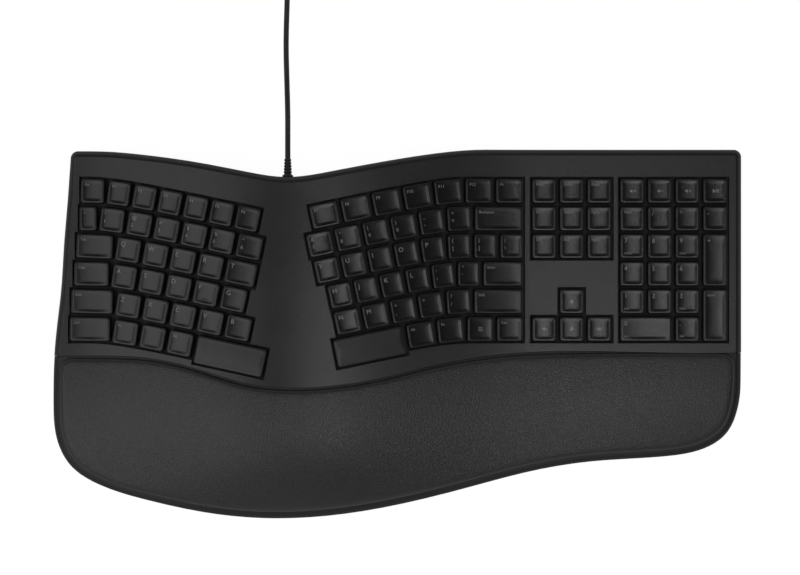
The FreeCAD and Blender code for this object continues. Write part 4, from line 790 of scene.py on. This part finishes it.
def flat_text(words, size):
    """Points and faces of a printed word, from its baseline's left end."""
    if (words, size) not in TEXTS:
        curve = bpy.data.curves.new("legend", "FONT")
        curve.body = words
        curve.size = size
        curve.resolution_u = 3
        holder = bpy.data.objects.new("legend", curve)
        mesh = bpy.data.meshes.new_from_object(holder)
        points = np.zeros(len(mesh.vertices) * 3)
        mesh.vertices.foreach_get("co", points)
        faces = [list(face.vertices) for face in mesh.polygons]
        TEXTS[words, size] = (points.reshape(-1, 3)[:, :2].copy(), faces)
        bpy.data.objects.remove(holder)
        bpy.data.curves.remove(curve)
        bpy.data.meshes.remove(mesh)
    return TEXTS[words, size]


ARROW = np.array([(0, 1.6), (-1.5, -0.4), (-0.5, -0.4), (-0.5, -1.7), (0.5, -1.7), (0.5, -0.4), (1.5, -0.4)])
TURNS = {"up": 0, "left": 90, "down": 180, "right": 270}
POINTER = np.array([(-1.6, -1.3), (0.3, 0.0), (-1.6, 1.3)])
SPEAKER = np.array([(-1.6, -0.5), (-0.9, -0.5), (0.0, -1.3), (0.0, 1.3), (-0.9, 0.5), (-1.6, 0.5)])


def bar(x, y, length, angle=0.0, thickness=0.38):
    """A short printed bar about a point."""
    a, b = length / 2, thickness / 2
    return np.array([(-a, -b), (a, -b), (a, b), (-a, b)]) @ spin(radians(angle)) + (x, y)


ICONS = {
    "mute": [SPEAKER, bar(1.5, 0, 1.8, 45), bar(1.5, 0, 1.8, -45)],
    "quieter": [SPEAKER, bar(1.5, 0, 1.5)],
    "louder": [SPEAKER, bar(1.5, 0, 1.5), bar(1.5, 0, 1.5, 90)],
    "play": [POINTER, bar(1.0, 0, 2.4, 90, 0.5), bar(2.0, 0, 2.4, 90, 0.5)],
    "menu": [bar(0, 1.1, 2.8), bar(0, 0, 2.8), bar(0, -1.1, 2.8)],
    **{name: [ARROW @ spin(radians(angle))] for name, angle in TURNS.items()},
}


def legend_shapes(legend, width, depth):
    """Printed shapes of one key in its own frame: letters near the upper left corner, signs above numbers."""
    if legend in ICONS:
        return [(outline, [list(range(len(outline)))]) for outline in ICONS[legend]]
    top = depth / 2 - LEGEND_TOP
    lines = legend.split("\n")
    if len(lines) == 2 and len(lines[1]) > 1:
        places = [(LETTER_SIZE, top - 3.0), (SMALL_SIZE, LEGEND_INSET - depth / 2)]
    elif len(lines) == 2:
        places = [(SIGN_SIZE, top - 2.4), (SIGN_SIZE, top - 7.4)]
    else:
        numbered = legend[:1] == "F" and legend[1:].isdigit()
        size = LETTER_SIZE if len(legend) == 1 else FUNCTION_SIZE if numbered else WORD_SIZE
        places = [(size, top - size * CAPITAL_SHARE)]
    shapes = []
    for words, (size, y) in zip(lines, places):
        if words:
            points, faces = flat_text(words, size)
            shapes.append((points + (LEGEND_INSET - width / 2, y), faces))
    return shapes


def make_legends(group):
    """The printed legends of one group, laid on the dished tops of its caps."""
    parts = []
    for name, width, depth, legend, foot, axes in KEYS:
        if name == group:
            for flat, faces in legend_shapes(legend, width, depth):
                x, y = flat.T
                dish = cap_dish(group, x, y, width / 2 - CAP_TAPER, depth / 2 - CAP_TAPER)
                points = np.stack([x, y, CAP_RISE + INK_LIFT - dish], axis=1)
                parts.append((points @ axes + foot, faces))
    return point_mesh(group + "_legends", *joined(parts), smooth=False) if parts else None


HOMING_REACH, HOMING_RADIUS, HOMING_END, HOMING_INSET, HOMING_RINGS = 1.9, 0.42, 0.02, 4.2, 15


def make_homing_bar(group, position):
    """The raised bar on a home key: a half round rod across its top, near the edge on the user's side."""
    _, width, depth, _, foot, axes = [key for key in KEYS if key[0] == group][position]
    along = np.linspace(-1, 1, HOMING_RINGS)
    radius = HOMING_RADIUS * np.sqrt(1 - np.abs(along) ** 6) + HOMING_END
    x, y = along * HOMING_REACH, np.full(HOMING_RINGS, HOMING_INSET - depth / 2)
    z = CAP_RISE - cap_dish(group, x, y, width / 2 - CAP_TAPER, depth / 2 - CAP_TAPER)
    path = np.stack([x, y, z], axis=1) @ axes + foot
    return tube(group + "_homing_bar", path, radius, 12, axes[2])


for group in dict.fromkeys(key[0] for key in KEYS):
    finished(make_caps(group), "keycap", group, "keycap_black", group)
    legends = make_legends(group)
    if legends:
        finished(legends, "legend", group, "keycap_black")
for group, position in (("home_letter_keys_left", 3), ("home_letter_keys_right", 1)):
    finished(make_homing_bar(group, position), "keycap", group, "keycap_black")


# Palm rest cushion: the seam, the front edge and the outline are lines of the housing seen from above

SEAM_LINE = np.array([
    (-245, -13.5), (-200, -13.7), (-165, -15.2), (-131, -22.6), (-100, -31.5), (-73, -34.6), (-42, -33.2),
    (-10, -28.2), (19, -21.3), (47, -15.8), (75, -12.3), (110, -10.7), (245, -10.7),
])
FRONT_LINE = np.array([
    (-245, -86), (-200, -101), (-165, -112), (-125, -120.2), (-85, -123.5), (-45, -121.6), (0, -114.4),
    (45, -103.5), (90, -91.8), (135, -84.9), (180, -82), (245, -76),
])
SIDE_AND_FRONT = np.array([
    (-224.4, 30), (-227.3, 5), (-229.3, -20), (-229.85, -45), (-228.3, -68), (-219.5, -87), (-200, -100.8),
    (-165, -112), (-125, -120.2), (-85, -123.5), (-45, -121.6), (0, -114.4), (45, -103.5), (90, -91.8),
    (135, -84.9), (180, -82.0), (207, -76), (222, -64.5), (228.4, -48), (230, -30),
])
PALM_STATIONS = np.array([-250, -215, -180, -145, -110, -75, -40, 0, 45, 90, 140, 190, 250.0])
PALM_SHARES = np.array([-0.6, -0.3, 0.0, 0.2, 0.4, 0.6, 0.8, 1.0, 1.25, 1.7, 2.4, 3.5])
LIP_HEIGHT, PALM_STEP = 9.5, 1.8
CUSHION_CROWN, CUSHION_THICKNESS, CUSHION_SEAT, CUSHION_INSET, CUSHION_CORNER = 1.2, 3.2, 0.2, 5.0, 8.0
SEAM_SETBACK = 1.9
DEGREE = 3
TABLE_STEPS, TABLE_ROWS, TABLE_RANGE = 401, 601, (-140, 10)


def line_y(line, x):
    """Y of a line of points at x, straight between them."""
    return np.interp(x, line[:, 0], line[:, 1])


def spline_weights(count, places):
    """Weights of a clamped cubic spline's poles at places from 0 to 1, by the Cox-de Boor recursion."""
    knots = np.concatenate([np.zeros(DEGREE), np.linspace(0, 1, count - DEGREE + 1), np.ones(DEGREE)])
    places = np.clip(places, 0, 1 - 1e-9)[:, None]
    weights = ((knots[:-1] <= places) & (places < knots[1:])).astype(float)
    for degree in range(1, DEGREE + 1):
        count_now = len(knots) - 1 - degree
        rise = knots[degree:degree + count_now] - knots[:count_now]
        fall = knots[degree + 1:degree + 1 + count_now] - knots[1:1 + count_now]
        up = (places - knots[:count_now]) / np.where(rise > 0, rise, 1.0) * weights[:, :count_now]
        down = (knots[degree + 1:degree + 1 + count_now] - places) / np.where(fall > 0, fall, 1.0)
        weights = up * (rise > 0) + down * (fall > 0) * weights[:, 1:1 + count_now]
    return weights


def palm_table(crown):
    """Heights of the palm rest on an even grid: the CAD surface's poles blended by its spline weights."""
    x = PALM_STATIONS[:, None]
    front = line_y(FRONT_LINE, x)
    seam = line_y(SEAM_LINE, x)
    share = PALM_SHARES[None, :]
    rise = np.where(share < 0, 2 * share, np.where(share < 1, 1 - (1 - share) ** 2, 1.0))
    swell = np.where((share > 0) & (share < 1), crown * np.sin(pi * share), 0.0)
    pole_y = front + (seam - front) * share
    pole_z = LIP_HEIGHT + (deck_height(x) - PALM_STEP - LIP_HEIGHT) * rise + swell
    places = np.linspace(0, 1, TABLE_STEPS)
    across = spline_weights(len(PALM_STATIONS), places)
    along = spline_weights(len(PALM_SHARES), places)
    xs = across @ PALM_STATIONS
    ys = across @ pole_y @ along.T
    zs = across @ pole_z @ along.T
    even = np.linspace(*TABLE_RANGE, TABLE_ROWS)
    return xs, even, np.array([np.interp(even, y, z) for y, z in zip(ys, zs)])


PALM_PLAIN = palm_table(0.0)
PALM_CROWNED = palm_table(CUSHION_CROWN)


def palm_surface(x, y, table):
    """Height of a palm rest table at points, straight between its grid points."""
    xs, ys, heights = table
    i = np.clip(np.interp(x, xs, np.arange(len(xs))), 0, len(xs) - 1.001)
    j = np.clip(np.interp(y, ys, np.arange(len(ys))), 0, len(ys) - 1.001)
    i0, j0 = i.astype(int), j.astype(int)
    fi, fj = i - i0, j - j0
    low = heights[i0, j0] * (1 - fj) + heights[i0, j0 + 1] * fj
    high = heights[i0 + 1, j0] * (1 - fj) + heights[i0 + 1, j0 + 1] * fj
    return low * (1 - fi) + high * fi


def chords(points):
    """Distance of each point from the first, along the straight spans between them."""
    return np.concatenate([[0], np.cumsum(np.hypot(*np.diff(points, axis=0).T))])


def smooth_line(points, count):
    """A smooth line through points: a cubic per span whose slopes solve the natural spline's equations."""
    chord = chords(points)
    step = np.diff(chord)
    beside = 1 / step
    diagonal = 2 * (np.append(beside, 0) + np.append(0, beside))
    system = np.diag(diagonal) + np.diag(beside, 1) + np.diag(beside, -1)
    pull = 3 * np.diff(points, axis=0) / step[:, None] ** 2
    right = np.vstack([pull, (0, 0)]) + np.vstack([(0, 0), pull])
    slope = np.linalg.solve(system, right)
    where = np.linspace(0, chord[-1], count)
    span = np.clip(np.searchsorted(chord, where, "right") - 1, 0, len(points) - 2)
    share = ((where - chord[span]) / step[span])[:, None]
    width = step[span][:, None]
    return (
        points[span] * (1 + 2 * share) * (1 - share) ** 2
        + slope[span] * width * share * (1 - share) ** 2
        + points[span + 1] * share ** 2 * (3 - 2 * share)
        - slope[span + 1] * width * share ** 2 * (1 - share)
    )


def evened(points, count):
    """A closed line of points with its points spread evenly along it."""
    closed = np.vstack([points, points[:1]])
    chord = chords(closed)
    where = np.linspace(0, chord[-1], count, endpoint=False)
    return np.stack([np.interp(where, chord, closed[:, axis]) for axis in (0, 1)], axis=1)


def cushion_edge(count):
    """The cushion's outline: the housing's moved inwards, the seam set back, and round corners between."""
    side = smooth_line(SIDE_AND_FRONT, 900)
    ahead = np.gradient(side, axis=0)
    ahead /= np.hypot(*ahead.T)[:, None]
    side = side + np.stack([-ahead[:, 1], ahead[:, 0]], axis=1) * CUSHION_INSET
    seam = smooth_line(SEAM_LINE, 700) - (0, SEAM_SETBACK)
    side = side[side[:, 1] < line_y(seam, side[:, 0]) - CUSHION_CORNER]
    left_x, right_x = side[0, 0], side[-1, 0]
    seam = seam[(seam[:, 0] > left_x + CUSHION_CORNER) & (seam[:, 0] < right_x - CUSHION_CORNER)][::-1]
    quarter = np.linspace(0, pi / 2, 12)
    right_arc = np.stack([np.cos(quarter), np.sin(quarter)], axis=1) * CUSHION_CORNER
    right_arc += (right_x - CUSHION_CORNER, seam[0, 1] - CUSHION_CORNER)
    left_arc = np.stack([-np.sin(quarter), np.cos(quarter)], axis=1) * CUSHION_CORNER
    left_arc += (left_x + CUSHION_CORNER, seam[-1, 1] - CUSHION_CORNER)
    return evened(np.vstack([side, right_arc, seam, left_arc]), count)


# Rings of the cushion's side from below to its top: distance in from the outline, height over the shell
CUSHION_SIDE = [
    (1.3, 0.2), (0.75, 0.35), (0.3, 0.75), (0.05, 1.3), (0.05, 1.85), (0.35, 2.4), (0.9, 2.85), (1.8, 3.15),
    (3.2, 3.3), (5.2, 3.36),
]
# Side rings lower than this over the shell carry the painted shade along the cushion's foot
PAINTED_FOOT_SHADE_HEIGHT = 1.0
SPINE_ENDS = (-192.0, 196.0)
SPINE_SHARE = 0.52
EDGE_POINTS, SPAN_RINGS = 360, 12


def make_cushion():
    """The cushion as rings from its underside's spine out to the drawn-in side and back over the crown."""
    edge = cushion_edge(EDGE_POINTS)
    spine_x = np.clip(edge[:, 0], *SPINE_ENDS)
    front = line_y(FRONT_LINE, spine_x)
    seam = line_y(SEAM_LINE, spine_x)
    inward = np.stack([spine_x, front + (seam - front) * SPINE_SHARE], axis=1) - edge
    reach = np.hypot(*inward.T)
    shares = np.linspace(1, 0, SPAN_RINGS + 1)[:-1]
    start, end = CUSHION_SIDE[0][0] / reach, CUSHION_SIDE[-1][0] / reach
    rings = [start + (1 - start) * share for share in shares]
    rings += [distance / reach for distance, _ in CUSHION_SIDE]
    rings += [end + (1 - end) * share for share in shares[::-1]]
    heights = [height for _, height in CUSHION_SIDE]
    tops = [CUSHION_SEAT] * SPAN_RINGS + heights + heights[-1:] * SPAN_RINGS
    # Painted shade on the lowest side rings, kept on the points as the value edge
    painted_edge_light_and_shade = [0.0] * SPAN_RINGS + [float(height < PAINTED_FOOT_SHADE_HEIGHT) for height in heights] + [0.0] * SPAN_RINGS
    flat = edge + inward * np.array(rings)[..., None]
    lift = np.array(tops)[:, None] * np.ones(len(edge))
    plain = palm_surface(flat[..., 0], flat[..., 1], PALM_PLAIN)
    crowned = palm_surface(flat[..., 0], flat[..., 1], PALM_CROWNED)
    share = np.clip((lift - CUSHION_SEAT) / (CUSHION_THICKNESS - CUSHION_SEAT), 0, 1)
    z = plain + (crowned - plain) * share + lift
    points = np.concatenate([flat, z[..., None]], axis=-1)
    faces = grid_faces(len(flat), len(edge), wrap_columns=True)
    made = point_mesh("palm_rest_pad", points, faces, {"edge": np.repeat(painted_edge_light_and_shade, len(edge))})
    weld = made.modifiers.new("weld", "WELD")
    weld.merge_threshold = 0.02 * MM
    settle(made)
    return made


def settle(piece):
    """Applies the modifiers of a piece to its mesh."""
    depsgraph = bpy.context.evaluated_depsgraph_get()
    mesh = bpy.data.meshes.new_from_object(piece.evaluated_get(depsgraph))
    piece.modifiers.clear()
    old = piece.data
    piece.data = mesh
    bpy.data.meshes.remove(old)


cushion = finished(make_cushion(), "cushion", "housing", "cushion_cover", "palm_cushion")


# Strain relief

RELIEF_START = 101.0


def make_relief():
    """Strain relief turned about the cable: flange and neck in the wall, a collar, then a ribbed taper."""
    stations = [
        (0.0, 4.3), (0.15, 4.5), (1.45, 4.5), (1.6, 4.3), (1.65, 3.2), (4.35, 3.2), (4.4, 3.5), (4.6, 3.68),
        (5.6, 3.68), (5.8, 3.5), (5.85, 2.9),
    ]
    for rib in range(5):
        start, taper = 6.3 + 2.0 * rib, 2.82 - 0.1 * rib
        stations += [(start, taper), (start + 0.25, taper - 0.42)]
        stations += [(start + 0.85, taper - 0.44), (start + 1.1, taper - 0.03)]
    stations += [(16.3, 2.3), (16.55, 2.15), (16.6, 1.85)]
    along, radii = np.array(stations).T
    path = np.outer(along, (0, 1, 0)) + (OUTLET[0], RELIEF_START, OUTLET[2])
    return tube("cable_gland", path, radii, 40)


finished(make_relief(), "cable", "housing", "cable_black", "cable_strain_relief")


# Underside details

TOP_SCREWS = [(-204, 113.5), (-73, 55), (-73, -6), (60, 114.5), (214, 114.5)]
PALM_SCREWS = [(-198, -52), (-73, -72), (40, -62), (200, -42)]
SCREW_FACE_Z = 4.7
FEET = [(-204, -80), (-206, 96), (-73, -109), (-73, 92), (214, 97), (212, -54)]
LEG_PLACES = {"tilt_leg_left": (-150, -72), "tilt_leg_right": (150, -72)}


def make_recess_shade_stars():
    """Painted shade of each screw's drive recess: a dark thick star of four arms, turned by its own angle."""
    outline = np.array([
        (1.5, 0.28), (0.45, 0.45), (0.28, 1.5), (-0.28, 1.5), (-0.45, 0.45), (-1.5, 0.28), (-1.5, -0.28),
        (-0.45, -0.45), (-0.28, -1.5), (0.28, -1.5), (0.45, -0.45), (1.5, -0.28),
    ])
    count = len(outline)
    parts = []
    for number, place in enumerate(TOP_SCREWS + PALM_SCREWS):
        flat = outline @ spin(0.7 * number) + place
        levels = [np.column_stack([flat, np.full(count, SCREW_FACE_Z + z)]) for z in (-0.04, 0.3)]
        parts.append((np.concatenate(levels), turned(skin_faces(2, count))))
    return point_mesh("screw_recess_shade_stars", *joined(parts), smooth=False)


FOOT_RING_RADIUS, FOOT_RING_Z, BEAD_WIDTH, BEAD_HEIGHT = 8.4, 2.05, 0.9, 0.55
FOOT_RING_SIDES, BEAD_SIDES = 56, 12


def make_foot_rings():
    """A moulded ring round each rubber foot: a rounded bead swept once round its axis."""
    turn = full_turn(FOOT_RING_SIDES)[:, None]
    bead = full_turn(BEAD_SIDES)
    radius = FOOT_RING_RADIUS + BEAD_WIDTH * np.cos(bead)
    height = np.broadcast_to(FOOT_RING_Z + BEAD_HEIGHT * np.sin(bead), (FOOT_RING_SIDES, BEAD_SIDES))
    ring = np.stack([radius * np.cos(turn), radius * np.sin(turn), height], axis=-1).reshape(-1, 3)
    faces = grid_faces(FOOT_RING_SIDES, BEAD_SIDES, True, True)
    return point_mesh("foot_rings", *joined([(ring + (x, y, 0), faces) for x, y in FEET]))


GRIP_REACH, GRIP_RADIUS, GRIP_FLATNESS, GRIP_Z = 9.0, 0.55, 0.5, 2.28
GRIP_START, GRIP_PITCH, GRIPS = 13.0, 2.6, 3
GRIP_RINGS, GRIP_SIDES = 15, 14


def make_leg_grip(name):
    """Rounded grip ridges near the free end of a folded leg, each a flattened rod half sunk in its face."""
    x, y = LEG_PLACES[name]
    along = np.linspace(-GRIP_REACH, GRIP_REACH, GRIP_RINGS)
    turn = full_turn(GRIP_SIDES)
    radius = GRIP_RADIUS * np.sqrt(1 - (np.abs(along) / (GRIP_REACH + 0.01)) ** 8)
    across, up = np.outer(radius, np.cos(turn)), np.outer(radius, np.sin(turn)) * GRIP_FLATNESS
    rod = np.stack([np.broadcast_to(along[:, None], across.shape), across, up], axis=-1).reshape(-1, 3)
    faces = turned(skin_faces(GRIP_RINGS, GRIP_SIDES))
    places = [(x, y + GRIP_START + GRIP_PITCH * ridge, GRIP_Z) for ridge in range(GRIPS)]
    return point_mesh(name + "_grip", *joined([(rod + place, faces) for place in places]))


# Dark stars of painted shade in the screw recesses
finished(make_recess_shade_stars(), "inner", "housing", "chip_black")
finished(make_foot_rings(), "underside", "housing", "underside_black")
for leg in LEG_PLACES:
    finished(make_leg_grip(leg), "underside", leg, "underside_black")


# Finishes of the nodes that stay

NODE_FINISHES = {
    "deck": "top_case",
    # The palm rest base gets the darker copy of the deck plastic, painted shade
    "base": "palm_rest_base",
    "underside": "bottom_case tilt_leg_left tilt_leg_right",
    "inner": "key_carrier_left key_carrier_right board_parts",
    "dome": "rubber_domes_left rubber_domes_right",
    "film": "membrane_left membrane_right",
    "steel": "backing_plate_left backing_plate_right",
    "wire": "space_bar_wire_left space_bar_wire_right",
    "board": "controller_board",
    "screw": "screws",
    "foot": "rubber_feet",
    "shell": "usb_plug_shell",
}
for finish, nodes in NODE_FINISHES.items():
    for node in nodes.split():
        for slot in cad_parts[node].material_slots:
            slot.material = FINISHES[finish]


# Floor, world and lamps


WHITE = (1.0, 1.0, 1.0, 1.0)


def make_floor():
    """A wide pale floor that is nearly white to the camera and still takes the object's shadow."""
    points = [(x * 3000.0, y * 3000.0, -0.05) for x, y in ((-1, -1), (1, -1), (1, 1), (-1, 1))]
    floor = point_mesh("floor", points, [[0, 1, 2, 3]], smooth=False)
    made = Finish("floor_white", tone(0.8), 0.9)
    glow = made.node("Emission", {}, {"Color": WHITE, "Strength": 1.2})
    seen = made.node("LightPath")
    camera_ray, glossy_ray = (Shade(made, seen.outputs[name]) for name in ("Is Camera Ray", "Is Glossy Ray"))
    share = camera_ray * 0.8 + glossy_ray * 0.1
    mix = made.node("MixShader", {}, {0: share, 1: made.shader.outputs[0], 2: glow.outputs[0]})
    output = made.tree.nodes["Material Output"]
    made.tree.links.new(mix.outputs[0], output.inputs["Surface"])
    floor.data.materials.append(made.material)


def make_world(around, overhead):
    """Pale surroundings, dimmer overhead so that the lamps shape the top, which the camera sees as white."""
    world = bpy.data.worlds.new("studio")
    world.use_nodes = True
    tree = world.node_tree
    direction = add_node(tree, "TexCoord").outputs["Generated"]
    height = add_node(tree, "SeparateXYZ", {}, {0: direction}).outputs["Z"]
    ends = {"From Min": 0.35, "From Max": 0.8, "To Min": around, "To Max": overhead}
    fade = add_node(tree, "MapRange", {}, {"Value": height, **ends})
    background = tree.nodes["Background"]
    background.inputs["Color"].default_value = WHITE
    tree.links.new(fade.outputs["Result"], background.inputs["Strength"])
    white = add_node(tree, "Background", {}, {"Color": WHITE})
    seen = add_node(tree, "LightPath").outputs["Is Camera Ray"]
    mix = add_node(tree, "MixShader", {}, {0: seen, 1: background.outputs[0], 2: white.outputs[0]})
    tree.links.new(mix.outputs[0], tree.nodes["World Output"].inputs["Surface"])
    bpy.context.scene.world = world


def make_lamp(name, place, target, width, height, power):
    """A soft rectangular lamp in millimetres, turned to a point, with its long side along Y."""
    lamp = bpy.data.lights.new(name, "AREA")
    lamp.shape = "RECTANGLE"
    lamp.size = width * MM
    lamp.size_y = height * MM
    lamp.energy = power
    holder = bpy.data.objects.new(name, lamp)
    back = (Vector(place) - Vector(target)).normalized()
    side = Vector((0, 1, 0)).cross(back).normalized()
    turn = Matrix((side, back.cross(side), back)).transposed().to_4x4()
    holder.matrix_world = Matrix.Translation(Vector(place) * MM) @ turn
    bpy.context.scene.collection.objects.link(holder)


make_floor()
make_world(0.5, 0.05)
make_lamp("left_softbox", (-893, -590, 1751), (-178, -118, 0), 700, 1850, 6.2)
make_lamp("right_softbox", (219, -548, 1950), (44, -110, 0), 199, 1442, 4.3)

bpy.context.scene.view_settings.view_transform = "Standard"
